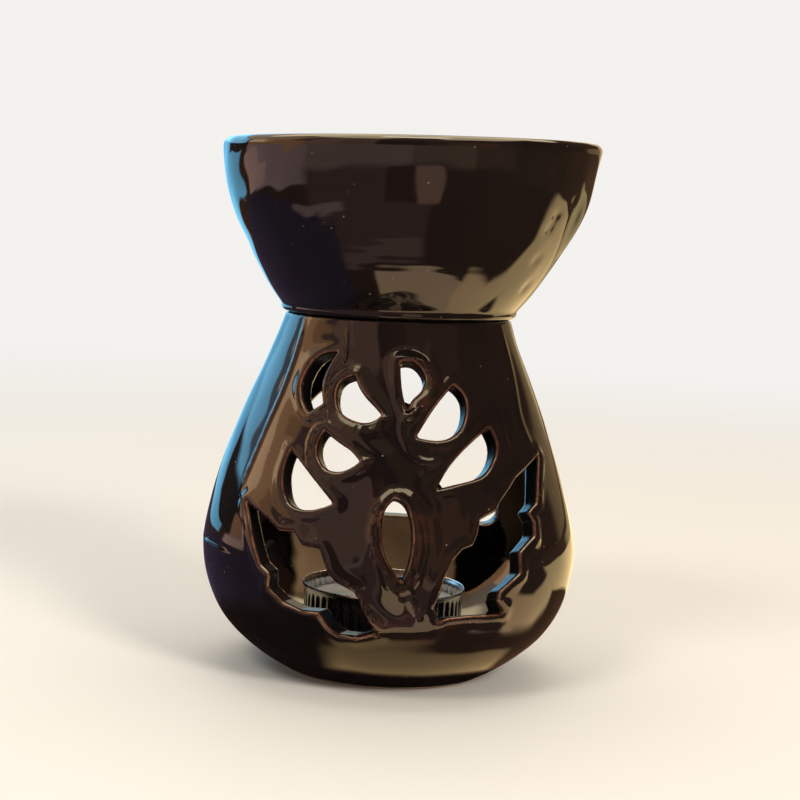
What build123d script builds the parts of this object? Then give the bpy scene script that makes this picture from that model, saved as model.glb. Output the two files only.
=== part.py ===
from build123d import *
from math import cos, radians, sin
import os

# Essential oil burner: a pierced pear-shaped chamber with a dish on its neck and a tea light inside.
# Millimetres, +Z up, front towards -Y, origin on the table under the middle of the foot.

# Tea light
cup_radius = 19.0
cup_height = 15.0
foil = 0.3
cup_lip = 0.5
wax_depth = 11.5
wax_gap = 0.1
wick_radius = 0.9
wick_reach = 7.0
wick_gap = 0.05
sustainer_radius = 7.5
collar_radius = 1.6
collar_height = 3.5

# Chamber, with a floor that leaves room round the tea light
wall = 4.5
floor_thickness = 5.0
floor_room = 1.25
floor_radius = cup_radius + cup_lip + floor_room
foot_radius = floor_radius + wall / 2
foot_ring = 4.0
foot_recess_depth = 1.5
belly_radius = 44.0
belly_level = 30.0
neck_radius = 26.3
neck_level = 84.7

# Side of the chamber as (share of the swell, share of the rise) below and above the belly
lower_side_shares = [(0.0, 0.0), (0.4, 0.165), (0.74, 0.39), (0.93, 0.66)]
upper_side_shares = [(0.91, 0.18), (0.745, 0.365), (0.54, 0.55), (0.31, 0.73), (0.09, 0.91)]
lining_start_share = 0.04
lining_count = 14

# Arch behind, through which the tea light goes in
arch_room = 7.5
arch_width = 2 * (cup_radius + cup_lip + arch_room)
arch_sill_level = 30.3
arch_top_level = 70.0
arch_corner_radius = 4.0

# Dish, as wide at its rim as the chamber is at its belly
rim_radius = belly_radius
dish_height = 40.3
dish_wall = 4.0
dish_floor = 5.0
dish_bulge = 5.0
seat_gap = 0.5
dish_side_shares = [(0.0, 0.0), (0.14, 0.09), (0.39, 0.23), (0.65, 0.415), (0.83, 0.6), (0.955, 0.79)]
dish_lining_start_share = 0.25
dish_lining_count = 8
bulge_middle_share = 0.75

overrun = 1.0
fine_share = 0.0001

os.makedirs("parts", exist_ok=True)


def side_points():
    """Points up the outside of the chamber, as (radius, height)."""
    lower_swell = belly_radius - foot_radius
    upper_swell = belly_radius - neck_radius
    upper_rise = neck_level - belly_level
    lower = [(foot_radius + share * lower_swell, rise * belly_level) for share, rise in lower_side_shares]
    upper = [(neck_radius + share * upper_swell, belly_level + rise * upper_rise)
             for share, rise in upper_side_shares]
    return lower + [(belly_radius, belly_level)] + upper + [(neck_radius, neck_level)]


def inset(curve, depth, start_share, count):
    """Points at one depth inside a profile curve, from a share of its length to its top."""
    points = []
    for step in range(count + 1):
        share = start_share + (1 - start_share) * step / count
        spot = curve.position_at(share)
        along = curve.tangent_at(share)
        points.append((spot.X - depth * along.Y, spot.Y + depth * along.X))
    return points


side_curve = Spline(*side_points())


def wall_plane(azimuth, level):
    """Plane on the outside of the wall: x across, y up the wall, z outwards. Azimuth 0 is the front."""
    low, high = 0.0, 1.0
    while high - low > fine_share:
        middle = (low + high) / 2
        if side_curve.position_at(middle).Y < level:
            low = middle
        else:
            high = middle
    spot = side_curve.position_at(low)
    along = side_curve.tangent_at(low)
    turn = radians(azimuth)
    return Plane(
        origin=(spot.X * sin(turn), -spot.X * cos(turn), spot.Y),
        x_dir=(cos(turn), sin(turn), 0),
        z_dir=(along.Y * sin(turn), -along.Y * cos(turn), -along.X),
    )


# Cut-outs in front: azimuth in degrees, level of the middle, width, height along the wall and
# the outline as runs of (share of the width, share of the height) that meet in corners
leaves = {
    "narrow_left": (-34.2, 70.3, 7.4, 14.6, [
        [(0.45, 0.5), (-0.05, 0.43), (-0.42, 0.22), (-0.5, 0.0), (-0.35, -0.25), (0.1, -0.5)],
        [(0.1, -0.5), (0.45, -0.34)],
        [(0.45, -0.34), (0.22, 0.02), (0.45, 0.5)]]),
    "upper_left": (-13.5, 67.3, 10.8, 10.5, [
        [(-0.18, 0.5), (-0.43, 0.37), (-0.5, 0.05), (-0.38, -0.29), (-0.1, -0.47), (0.25, -0.5),
         (0.5, -0.32)],
        [(0.5, -0.32), (0.27, -0.08), (0.02, 0.15), (-0.18, 0.5)]]),
    "middle_left": (-18.1, 55.7, 10.2, 8.6, [
        [(-0.4, 0.5), (-0.5, 0.2), (-0.43, -0.22), (-0.2, -0.48), (0.12, -0.5), (0.5, -0.2)],
        [(0.5, -0.2), (0.2, 0.1), (-0.12, 0.3), (-0.4, 0.5)]]),
    "lower_left": (-27.1, 48.9, 13.6, 12.9, [
        [(-0.45, 0.5), (-0.5, 0.25), (-0.45, -0.12), (-0.27, -0.42), (0.05, -0.5), (0.5, -0.33)],
        [(0.5, -0.33), (0.22, -0.08), (-0.1, 0.2), (-0.45, 0.5)]]),
    "top_centre": (7.3, 70.5, 5.4, 10.9, [
        [(-0.5, 0.48), (-0.1, 0.5), (0.32, 0.36), (0.5, 0.12), (0.3, -0.12), (-0.04, -0.29), (-0.25, -0.5)],
        [(-0.25, -0.5), (-0.43, -0.1), (-0.5, 0.48)]]),
    "upper_right": (18.1, 65.1, 12.0, 12.6, [
        [(0.29, 0.5), (0.47, 0.33), (0.49, 0.0), (0.32, -0.32), (0.03, -0.49), (-0.5, -0.44)],
        [(-0.5, -0.44), (-0.27, -0.12), (0.02, 0.23), (0.29, 0.5)]]),
    "middle_right": (26.4, 55.6, 15.9, 13.5, [
        [(0.42, 0.5), (0.5, 0.27), (0.43, -0.04), (0.2, -0.31), (-0.13, -0.42), (-0.5, -0.5)],
        [(-0.5, -0.5), (-0.3, -0.18), (0.0, 0.15), (0.42, 0.5)]]),
    "central": (2.5, 37.9, 6.6, 17.6, [
        [(-0.12, 0.5), (0.28, 0.4), (0.48, 0.13), (0.47, -0.15), (0.2, -0.5)],
        [(0.2, -0.5), (-0.25, -0.26), (-0.48, 0.0), (-0.45, 0.3), (-0.12, 0.5)]]),
}

# The two large openings are jagged, so their outlines are straight runs with softened corners
jagged = {
    "left": (-26.6, 28.9, 33.3, 26.1, [
        (-0.5, 0.5), (-0.4, 0.27), (-0.29, 0.02), (-0.21, -0.04), (-0.22, -0.17), (-0.11, -0.27),
        (0.02, -0.32), (0.16, -0.31), (0.21, -0.44), (0.27, -0.5), (0.38, -0.5), (0.5, -0.44),
        (0.45, -0.27), (0.4, -0.11), (0.27, -0.04), (0.21, 0.05), (0.15, 0.22), (0.02, 0.23),
        (-0.05, 0.33), (-0.17, 0.32), (-0.28, 0.4)]),
    "right": (36.2, 39.0, 32.3, 34.5, [
        (0.5, 0.5), (0.2, 0.35), (0.02, 0.2), (-0.02, 0.15), (-0.16, 0.1), (-0.19, 0.01),
        (-0.23, -0.06), (-0.31, -0.08), (-0.39, -0.14), (-0.45, -0.25), (-0.5, -0.43), (-0.45, -0.49),
        (-0.24, -0.49), (0.03, -0.5), (-0.04, -0.42), (-0.03, -0.36), (0.15, -0.25), (0.15, -0.12),
        (0.31, -0.02), (0.32, 0.07), (0.27, 0.13), (0.38, 0.19), (0.43, 0.33)]),
}
jag_corner_radius = 0.4


def scaled(shares, width, height):
    """Outline points from shares of a width and a height."""
    return [(across * width, up * height) for across, up in shares]


# Chamber: turned body, hollowed to the wall, open at the neck
with BuildPart() as burner_body:
    with BuildSketch(Plane.XZ):
        with BuildLine():
            add(side_curve)
            recess_radius = foot_radius - foot_ring
            Polyline((neck_radius, neck_level), (0, neck_level), (0, foot_recess_depth),
                     (recess_radius, foot_recess_depth), (recess_radius, 0), (foot_radius, 0))
        make_face()
    revolve(axis=Axis.Z)
    hollow = [(radius, level) for radius, level in inset(side_curve, wall, lining_start_share, lining_count)
              if level > floor_thickness + wall / 2]
    with BuildSketch(Plane.XZ):
        with BuildLine():
            inner = Spline((floor_radius, floor_thickness), *hollow)
            Polyline(inner @ 1, (hollow[-1][0], neck_level + overrun), (0, neck_level + overrun),
                     (0, floor_thickness), inner @ 0)
        make_face()
    revolve(axis=Axis.Z, mode=Mode.SUBTRACT)
    with BuildSketch(Plane.XZ) as arch:
        with BuildLine():
            half = arch_width / 2
            spring = arch_top_level - half
            Polyline((-half, spring), (-half, arch_sill_level), (half, arch_sill_level), (half, spring))
            ThreePointArc((half, spring), (0, arch_top_level), (-half, spring))
        make_face()
        fillet(arch.vertices().group_by(Axis.Y)[0], radius=arch_corner_radius)
    extrude(amount=-(belly_radius + overrun), mode=Mode.SUBTRACT)
    for azimuth, level, width, height, runs in leaves.values():
        with BuildSketch(wall_plane(azimuth, level)):
            with BuildLine():
                for run in runs:
                    points = scaled(run, width, height)
                    if len(points) > 2:
                        Spline(*points)
                    else:
                        Line(*points)
            make_face()
        extrude(amount=width + wall, both=True, mode=Mode.SUBTRACT)
    for azimuth, level, width, height, shares in jagged.values():
        with BuildSketch(wall_plane(azimuth, level)) as opening:
            with BuildLine():
                Polyline(*scaled(shares, width, height), close=True)
            make_face()
            fillet(opening.vertices(), radius=jag_corner_radius)
        extrude(amount=width / 2 + wall, both=True, mode=Mode.SUBTRACT)
burner_body.part.label = "burner_body"

# Dish: its underside seats on the neck and bulges into it
dish_points = [(neck_radius + share * (rim_radius - neck_radius), neck_level + rise * dish_height)
               for share, rise in dish_side_shares]
rim_top_level = neck_level + dish_height
rim_start = (rim_radius, rim_top_level - dish_wall / 2)
dish_curve = Spline(*dish_points, rim_start)
neck_bore = neck_radius - wall
with BuildPart() as oil_bowl:
    with BuildSketch(Plane.XZ):
        with BuildLine():
            add(dish_curve)
            lining = inset(dish_curve, dish_wall, dish_lining_start_share, dish_lining_count)
            lip = rim_radius - dish_wall / 2
            ThreePointArc(rim_start, (lip, rim_top_level), lining[-1])
            bottom = (0, neck_level - dish_bulge + dish_floor)
            inside = Spline(bottom, *lining, tangents=((1, 0), dish_curve % 1))
            under = ThreePointArc((0, neck_level - dish_bulge),
                                  (neck_bore / 2, neck_level - dish_bulge * bulge_middle_share),
                                  (neck_bore - seat_gap, neck_level))
            Polyline(under @ 1, (neck_radius, neck_level))
            Line(under @ 0, bottom)
        make_face()
    revolve(axis=Axis.Z)
oil_bowl.part.label = "oil_bowl"

# Tea light, standing on the chamber's floor
cup_base = floor_thickness
cup_top = cup_base + cup_height
cup_bore = cup_radius - foil
with BuildPart() as tealight_cup:
    with BuildSketch(Plane.XY.offset(cup_base)):
        Circle(cup_radius)
    extrude(amount=cup_height)
    with BuildSketch(Plane.XY.offset(cup_base + foil)):
        Circle(cup_bore)
    extrude(amount=cup_height, mode=Mode.SUBTRACT)
    with BuildSketch(Plane.XY.offset(cup_top - cup_lip)):
        Circle(cup_radius + cup_lip)
        Circle(cup_bore, mode=Mode.SUBTRACT)
    extrude(amount=cup_lip)
tealight_cup.part.label = "tealight_cup"

wax_base = cup_base + foil
wax_top = wax_base + wax_depth
with BuildPart() as tealight_wax:
    with BuildSketch(Plane.XY.offset(wax_base)):
        Circle(cup_bore - wax_gap)
        Circle(wick_radius + wick_gap, mode=Mode.SUBTRACT)
    extrude(amount=wax_depth)
    with BuildSketch(Plane.XY.offset(wax_base)):
        Circle(sustainer_radius + wick_gap)
    extrude(amount=foil, mode=Mode.SUBTRACT)
    with BuildSketch(Plane.XY.offset(wax_base)):
        Circle(collar_radius + wick_gap)
    extrude(amount=foil + collar_height, mode=Mode.SUBTRACT)
tealight_wax.part.label = "tealight_wax"

with BuildPart() as wick_sustainer:
    with BuildSketch(Plane.XY.offset(wax_base)):
        Circle(sustainer_radius)
    extrude(amount=foil)
    with BuildSketch(Plane.XY.offset(wax_base + foil)):
        Circle(collar_radius)
        Circle(wick_radius + wick_gap, mode=Mode.SUBTRACT)
    extrude(amount=collar_height)
wick_sustainer.part.label = "wick_sustainer"

with BuildPart() as wick:
    with BuildSketch(Plane.XY.offset(wax_base + foil)):
        Circle(wick_radius)
    extrude(amount=wax_depth - foil + wick_reach)
wick.part.label = "wick"

for piece in (burner_body, oil_bowl, tealight_cup, tealight_wax, wick_sustainer, wick):
    export_step(piece.part, f"parts/{piece.part.label}.step")
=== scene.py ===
"""Essential oil burner: a pierced, glazed chamber, the dish on its neck and a tea light inside.

Metres, +Z up and the pierced front towards -Y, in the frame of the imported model, which is loaded
first. Outlines are written as shares of named sizes. Azimuths are degrees from the front towards +X,
from -180 to 180.
"""

import logging
import math
from dataclasses import dataclass, field
from enum import Enum
from typing import Callable, Sequence

import bmesh
import bpy
import numpy as np
from mathutils import Matrix, Vector


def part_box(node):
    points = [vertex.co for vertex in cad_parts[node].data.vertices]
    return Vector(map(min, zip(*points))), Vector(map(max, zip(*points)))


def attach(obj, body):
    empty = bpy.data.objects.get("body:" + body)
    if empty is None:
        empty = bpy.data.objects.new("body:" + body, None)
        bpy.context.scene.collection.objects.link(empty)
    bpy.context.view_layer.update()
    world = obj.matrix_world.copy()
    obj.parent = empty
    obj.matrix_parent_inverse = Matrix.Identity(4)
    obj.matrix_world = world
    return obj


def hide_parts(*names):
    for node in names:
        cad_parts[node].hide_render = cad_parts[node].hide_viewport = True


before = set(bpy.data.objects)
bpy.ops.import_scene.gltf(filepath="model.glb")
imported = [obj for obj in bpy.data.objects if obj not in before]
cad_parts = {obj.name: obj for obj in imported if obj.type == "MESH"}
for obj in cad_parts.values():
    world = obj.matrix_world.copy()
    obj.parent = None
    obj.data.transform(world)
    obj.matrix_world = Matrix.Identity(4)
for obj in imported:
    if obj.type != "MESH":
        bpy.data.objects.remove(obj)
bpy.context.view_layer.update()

LOG = logging.getLogger("oil_burner")
MM = 0.001
NECK_RADIUS = 26.3 * MM
NECK_LEVEL = 84.7 * MM
DISH_HEIGHT = 40.3 * MM
BELLY_RADIUS = 44.0 * MM
SHADOW_OFFSET = 0.4
Array = np.ndarray
Pairs = Sequence[tuple[float, float]]
Colour = tuple[float, float, float]


# Curves and distances


def smooth_curve(points: Pairs, count: int) -> Array:
    """Points along a natural cubic spline.

    Args:
        points: the points that the curve passes through.
        count: how many points to return.

    Returns:
        An array of count rows.
    """
    knots = np.asarray(points, float)
    steps = np.linalg.norm(np.diff(knots, axis=0), axis=1)
    at = np.concatenate(([0.0], np.cumsum(steps)))
    size = len(knots)
    system = np.eye(size)
    right = np.zeros_like(knots)
    slopes = np.diff(knots, axis=0) / steps[:, None]
    for row in range(1, size - 1):
        system[row, row - 1:row + 2] = steps[row - 1], 2 * (steps[row - 1] + steps[row]), steps[row]
        right[row] = 6 * (slopes[row] - slopes[row - 1])
    bend = np.linalg.solve(system, right)
    where = np.linspace(0.0, at[-1], count)
    part = np.clip(np.searchsorted(at, where, side="right") - 1, 0, size - 2)
    length = steps[part][:, None]
    done = (where - at[part])[:, None]
    left = length - done
    curved = (bend[part] * left**3 + bend[part + 1] * done**3) / (6 * length)
    start = (knots[part] / length - bend[part] * length / 6) * left
    end = (knots[part + 1] / length - bend[part + 1] * length / 6) * done
    return curved + start + end


def inset_curve(curve: Array, depth: float) -> Array:
    """The same curve moved to its left.

    Args:
        curve: rows of two coordinates.
        depth: how far to move it.

    Returns:
        As many rows as the curve has.
    """
    along = np.gradient(curve, axis=0)
    along /= np.linalg.norm(along, axis=1)[:, None]
    return curve + depth * np.stack((-along[:, 1], along[:, 0]), axis=1)


def smooth_step(low: float, high: float, value: Array) -> Array:
    """0 below low, 1 above high and smooth between."""
    share = np.clip((value - low) / (high - low), 0.0, 1.0)
    return share * share * (3 - 2 * share)


def signed_distance(points: Array, outline: Array) -> Array:
    """Distance from points to a closed outline, negative inside it.

    Args:
        points: rows of two coordinates.
        outline: corners of the outline, in order.

    Returns:
        One distance per point.
    """
    nearest = np.full(len(points), np.inf)
    inside = np.zeros(len(points), bool)
    for start, end in zip(outline, np.roll(outline, -1, axis=0)):
        edge = end - start
        reach = float(edge @ edge)
        if reach == 0.0:
            continue
        offset = points - start
        share = np.clip(offset @ edge / reach, 0.0, 1.0)
        gap = offset - share[:, None] * edge
        nearest = np.minimum(nearest, (gap * gap).sum(axis=1))
        spans = (start[1] > points[:, 1]) != (end[1] > points[:, 1])
        if edge[1] != 0.0:
            crossing = start[0] + (points[:, 1] - start[1]) * edge[0] / edge[1]
            inside ^= spans & (points[:, 0] < crossing)
    return np.where(inside, -1.0, 1.0) * np.sqrt(nearest)


def line_distance(points: Array, line: Array) -> tuple[Array, Array]:
    """Distance from points to an open line.

    Args:
        points: rows of three coordinates.
        line: corners of the line, in order.

    Returns:
        One distance per point, and the share of the line's corners passed at its nearest spot.
    """
    nearest = np.full(len(points), np.inf)
    along = np.zeros(len(points))
    for index, (start, end) in enumerate(zip(line[:-1], line[1:])):
        edge = end - start
        offset = points - start
        share = np.clip(offset @ edge / float(edge @ edge), 0.0, 1.0)
        gap = np.linalg.norm(offset - share[:, None] * edge, axis=1)
        closer = gap < nearest
        nearest = np.where(closer, gap, nearest)
        along = np.where(closer, (index + share) / (len(line) - 1), along)
    return nearest, along


@dataclass
class Field:
    """Values on a square grid, read back smoothly between the grid's points."""

    low: Array
    pitch: float
    values: Array

    @classmethod
    def build(cls, low: Pairs, high: Pairs, pitch: float, value: Callable[[Array], Array],
              softness: float = 0.0) -> "Field":
        """Fills a grid from a function.

        Args:
            low: lowest corner of the grid.
            high: highest corner of the grid.
            pitch: distance between grid points.
            value: gives one value per row of two coordinates.
            softness: width of the blur that rounds the values off, in the grid's units.

        Returns:
            The filled grid.
        """
        low, high = np.asarray(low, float), np.asarray(high, float)
        counts = np.ceil((high - low) / pitch).astype(int) + 1
        axes = [low[axis] + pitch * np.arange(counts[axis]) for axis in (0, 1)]
        points = np.stack(np.meshgrid(*axes, indexing="ij"), axis=-1).reshape(-1, 2)
        values = value(points).reshape(counts)
        if softness > 0.0:
            reach = int(math.ceil(3 * softness / pitch))
            weights = np.exp(-0.5 * (np.arange(-reach, reach + 1) * pitch / softness) ** 2)
            weights /= weights.sum()
            for axis in (0, 1):
                padding = [(0, 0), (0, 0)]
                padding[axis] = (reach, reach)
                padded = np.pad(values, padding, mode="edge")
                values = np.apply_along_axis(np.convolve, axis, padded, weights, mode="valid")
        return cls(low, pitch, values)

    def read(self, first: Array, second: Array) -> Array:
        """Reads the values by cubic interpolation.

        Args:
            first: first coordinate of each place.
            second: second coordinate of each place.

        Returns:
            One value per place.
        """
        spots = []
        for axis, place in enumerate((first, second)):
            limit = self.values.shape[axis] - 3
            scaled = np.clip((place - self.low[axis]) / self.pitch, 1.0, limit + 0.999)
            whole = np.clip(scaled.astype(int), 1, limit)
            share = scaled - whole
            weights = (
                ((2 - share) * share - 1) * share / 2,
                ((3 * share - 5) * share * share + 2) / 2,
                ((4 - 3 * share) * share + 1) * share / 2,
                (share - 1) * share * share / 2,
            )
            spots.append((whole, weights))
        (row, row_weights), (column, column_weights) = spots
        total = np.zeros(np.shape(first))
        for down in range(4):
            for across in range(4):
                weight = row_weights[down] * column_weights[across]
                total += weight * self.values[row + down - 1, column + across - 1]
        return total


@dataclass(frozen=True)
class Ripple:
    """Smooth unevenness: a sum of waves in random directions, from one seed."""

    seed: int
    wavelength: float
    height: float
    waves: int = 14

    def read(self, points: Array) -> Array:
        """Reads the unevenness.

        Args:
            points: rows of three coordinates.

        Returns:
            One height per point.
        """
        draw = np.random.default_rng(self.seed)
        total = np.zeros(len(points))
        for _ in range(self.waves):
            direction = draw.normal(size=3)
            direction /= np.linalg.norm(direction)
            turns = 2 * math.pi / (self.wavelength * draw.uniform(0.7, 1.6))
            total += np.sin(points @ direction * turns + draw.uniform(0, 2 * math.pi))
        return total * self.height * math.sqrt(2 / self.waves)


# Meshes


def turned(section: Array, steps: int) -> bmesh.types.BMesh:
    """Spins a section about the Z axis.

    Args:
        section: rows of radius and height, an open line whose ends may lie on the axis.
        steps: how many faces go round.

    Returns:
        A mesh with its faces pointing outwards.
    """
    mesh = bmesh.new()
    corners = [mesh.verts.new((max(radius, 0.0), 0.0, height)) for radius, height in section]
    for start, end in zip(corners[:-1], corners[1:]):
        mesh.edges.new((start, end))
    if not math.isclose(section[0][0], 0.0, abs_tol=1e-7):
        mesh.edges.new((corners[-1], corners[0]))
    bmesh.ops.spin(mesh, geom=mesh.verts[:] + mesh.edges[:], cent=(0, 0, 0), axis=(0, 0, 1),
                   dvec=(0, 0, 0), angle=2 * math.pi, steps=steps, use_merge=True)
    bmesh.ops.remove_doubles(mesh, verts=mesh.verts, dist=1e-7)
    bmesh.ops.recalc_face_normals(mesh, faces=mesh.faces)
    return mesh


def positions(mesh: bmesh.types.BMesh) -> Array:
    """The places of a mesh's vertices, one row each."""
    return np.array([vertex.co for vertex in mesh.verts], float)


def move_to(mesh: bmesh.types.BMesh, places: Array) -> None:
    """Moves a mesh's vertices to the given places."""
    for vertex, place in zip(mesh.verts, places):
        vertex.co = place


def keep_largest(mesh: bmesh.types.BMesh) -> None:
    """Deletes the loose parts of a mesh, all but the one with the most vertices.

    Args:
        mesh: the mesh to change.
    """
    left = set(mesh.verts)
    largest: set[bmesh.types.BMVert] = set()
    for seed in mesh.verts:
        part = set()
        ahead = [seed]
        while ahead:
            vertex = ahead.pop()
            if vertex in left:
                left.discard(vertex)
                part.add(vertex)
                ahead.extend(edge.other_vert(vertex) for edge in vertex.link_edges)
        largest = max(largest, part, key=len)
    loose = [vertex for vertex in mesh.verts if vertex not in largest]
    bmesh.ops.delete(mesh, geom=loose, context="VERTS")


def as_object(mesh: bmesh.types.BMesh, name: str) -> bpy.types.Object:
    """Turns a mesh into a smooth-shaded object in the scene, at the origin.

    Args:
        mesh: the mesh, which is freed.
        name: the object's name.

    Returns:
        The new object.
    """
    data = bpy.data.meshes.new(name)
    mesh.to_mesh(data)
    mesh.free()
    data.shade_smooth()
    piece = bpy.data.objects.new(name, data)
    bpy.context.scene.collection.objects.link(piece)
    return piece


def baked(piece: bpy.types.Object) -> bpy.types.Mesh:
    """Applies a piece's modifiers.

    Args:
        piece: the object that carries them.

    Returns:
        A new mesh with their result.
    """
    bpy.context.view_layer.update()
    shown = piece.evaluated_get(bpy.context.evaluated_depsgraph_get())
    return bpy.data.meshes.new_from_object(shown)


def store(data: bpy.types.Mesh, name: str, values: Array) -> None:
    """Keeps one number per vertex on a mesh, for its material."""
    layer = data.attributes.new(name, "FLOAT", "POINT")
    layer.data.foreach_set("value", values.astype(np.float32))


# Shader maths


class Value:
    """A shader socket that takes part in Python sums."""

    def __init__(self, finish: "Nodes", socket: bpy.types.NodeSocket) -> None:
        """Wraps a socket of a node in the given tree."""
        self.finish = finish
        self.socket = socket

    def _math(self, operation: str, other: "Value | float | None" = None, swap: bool = False) -> "Value":
        """Adds a Math node for this value and another."""
        pair = [self] if other is None else ([other, self] if swap else [self, other])
        return self.finish.node("ShaderNodeMath", {"operation": operation}, *pair)

    def __add__(self, other: "Value | float") -> "Value":
        """Sum."""
        return self._math("ADD", other)

    def __sub__(self, other: "Value | float") -> "Value":
        """Difference."""
        return self._math("SUBTRACT", other)

    def __rsub__(self, other: "Value | float") -> "Value":
        """Difference from a number."""
        return self._math("SUBTRACT", other, swap=True)

    def __mul__(self, other: "Value | float") -> "Value":
        """Product."""
        return self._math("MULTIPLY", other)

    __radd__ = __add__
    __rmul__ = __mul__

    def high(self, other: "Value | float") -> "Value":
        """The larger of two values."""
        return self._math("MAXIMUM", other)

    def cosine(self) -> "Value":
        """Cosine of this value in degrees."""
        return (self * math.radians(1.0))._math("COSINE")

    def ramp(self, low: float, high: float) -> "Value":
        """0 where this value is at low, 1 where it is at high, smooth between."""
        settings = {"interpolation_type": "SMOOTHSTEP"}
        return self.finish.node("ShaderNodeMapRange", settings, self, low, high, 0.0, 1.0)


class Nodes:
    """Builds the nodes of one material or world."""

    def __init__(self, tree: bpy.types.NodeTree, output: str) -> None:
        """Empties a node tree and gives it an output.

        Args:
            tree: the node tree.
            output: type of the output node.
        """
        self.tree = tree
        self.tree.nodes.clear()
        self.output = self.tree.nodes.new(output)

    def fill(self, socket: bpy.types.NodeSocket, value: object) -> None:
        """Links a socket to a value, or sets it.

        Args:
            socket: the socket to fill.
            value: a Value to link, or a number, vector or colour to set.
        """
        if isinstance(value, Value):
            self.tree.links.new(value.socket, socket)
        elif isinstance(value, tuple) and len(value) == 3 and socket.type == "RGBA":
            socket.default_value = (*value, 1.0)
        else:
            socket.default_value = value

    def node(self, kind: str, settings: dict[str, object], *values: object,
             out: int = 0, **named: object) -> Value:
        """Adds a node.

        Args:
            kind: the node's type.
            settings: its properties, set before its sockets.
            values: what goes into its first sockets, in order. None leaves a socket alone.
            out: which of its outputs to return.
            named: what goes into sockets by name, with _ for a space.

        Returns:
            One of the node's outputs.
        """
        made = self.tree.nodes.new(kind)
        for name, setting in settings.items():
            setattr(made, name, setting)
        for socket, value in zip(made.inputs, values):
            if value is not None:
                self.fill(socket, value)
        for name, value in named.items():
            self.fill(made.inputs[name.replace("_", " ")], value)
        return Value(self, made.outputs[out])

    def place(self) -> Value:
        """Object coordinates."""
        return self.node("ShaderNodeTexCoord", {}, out=3)

    def scaled(self, factors: Colour) -> Value:
        """Object coordinates stretched along each axis."""
        return self.node("ShaderNodeMapping", {}, self.place(), None, None, factors)

    def split(self, vector: Value) -> tuple[Value, Value, Value]:
        """Splits a vector.

        Args:
            vector: the vector.

        Returns:
            Its three parts.
        """
        made = self.tree.nodes.new("ShaderNodeSeparateXYZ")
        self.fill(made.inputs[0], vector)
        return tuple(Value(self, socket) for socket in made.outputs)

    def azimuth(self, across: Value, along: Value) -> Value:
        """Degrees from the front towards +X of a direction in plan."""
        turn = self.node("ShaderNodeMath", {"operation": "ARCTAN2"}, across, 0.0 - along)
        return turn * math.degrees(1.0)

    def attribute(self, name: str) -> Value:
        """A number kept on the mesh's vertices."""
        return self.node("ShaderNodeAttribute", {"attribute_name": name}, out=2)

    def noise(self, place: Value, scale: float, detail: float = 2.0) -> Value:
        """Soft cloudy noise from 0 to 1 with features of size 1 / scale."""
        return self.node("ShaderNodeTexNoise", {}, place, None, scale, detail)

    def specks(self, place: Value, scale: float, size: float) -> Value:
        """Small round dots scattered at random, 1 at the middle of each and 0 between them."""
        distance = self.node("ShaderNodeTexVoronoi", {}, place, None, scale)
        return 1.0 - distance.ramp(size * 0.6, size)

    def mix(self, share: "Value | float", first: object, second: object) -> Value:
        """Mixes two colours.

        Args:
            share: how much of the second colour there is, from 0 to 1.
            first: the first colour.
            second: the second colour.

        Returns:
            The mixed colour.
        """
        made = self.tree.nodes.new("ShaderNodeMix")
        made.data_type = "RGBA"
        for index, value in ((0, share), (6, first), (7, second)):
            self.fill(made.inputs[index], value)
        return Value(self, made.outputs[2])

    def bump(self, height: Value, distance: float, strength: float = 1.0) -> Value:
        """A normal tilted by a height between 0 and 1 that stands for a distance in metres."""
        return self.node("ShaderNodeBump", {}, Strength=strength, Distance=distance, Height=height)

    def either(self, share: Value, first: Value, second: Value) -> Value:
        """One shader where the share is 0 and another where it is 1."""
        return self.node("ShaderNodeMixShader", {}, share, first, second)

    def principled(self, **named: object) -> Value:
        """A Principled shader whose sockets are set by name."""
        return self.node("ShaderNodeBsdfPrincipled", {}, **named)

    def finish(self, shader: Value) -> None:
        """Ends the tree with a shader."""
        self.fill(self.output.inputs["Surface"], shader)


def new_material(name: str) -> tuple[bpy.types.Material, Nodes]:
    """Makes an empty material.

    Args:
        name: the material's name.

    Returns:
        The material and the builder of its nodes.
    """
    material = bpy.data.materials.new(name)
    material.use_nodes = True
    return material, Nodes(material.node_tree, "ShaderNodeOutputMaterial")


# Finishes


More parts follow.
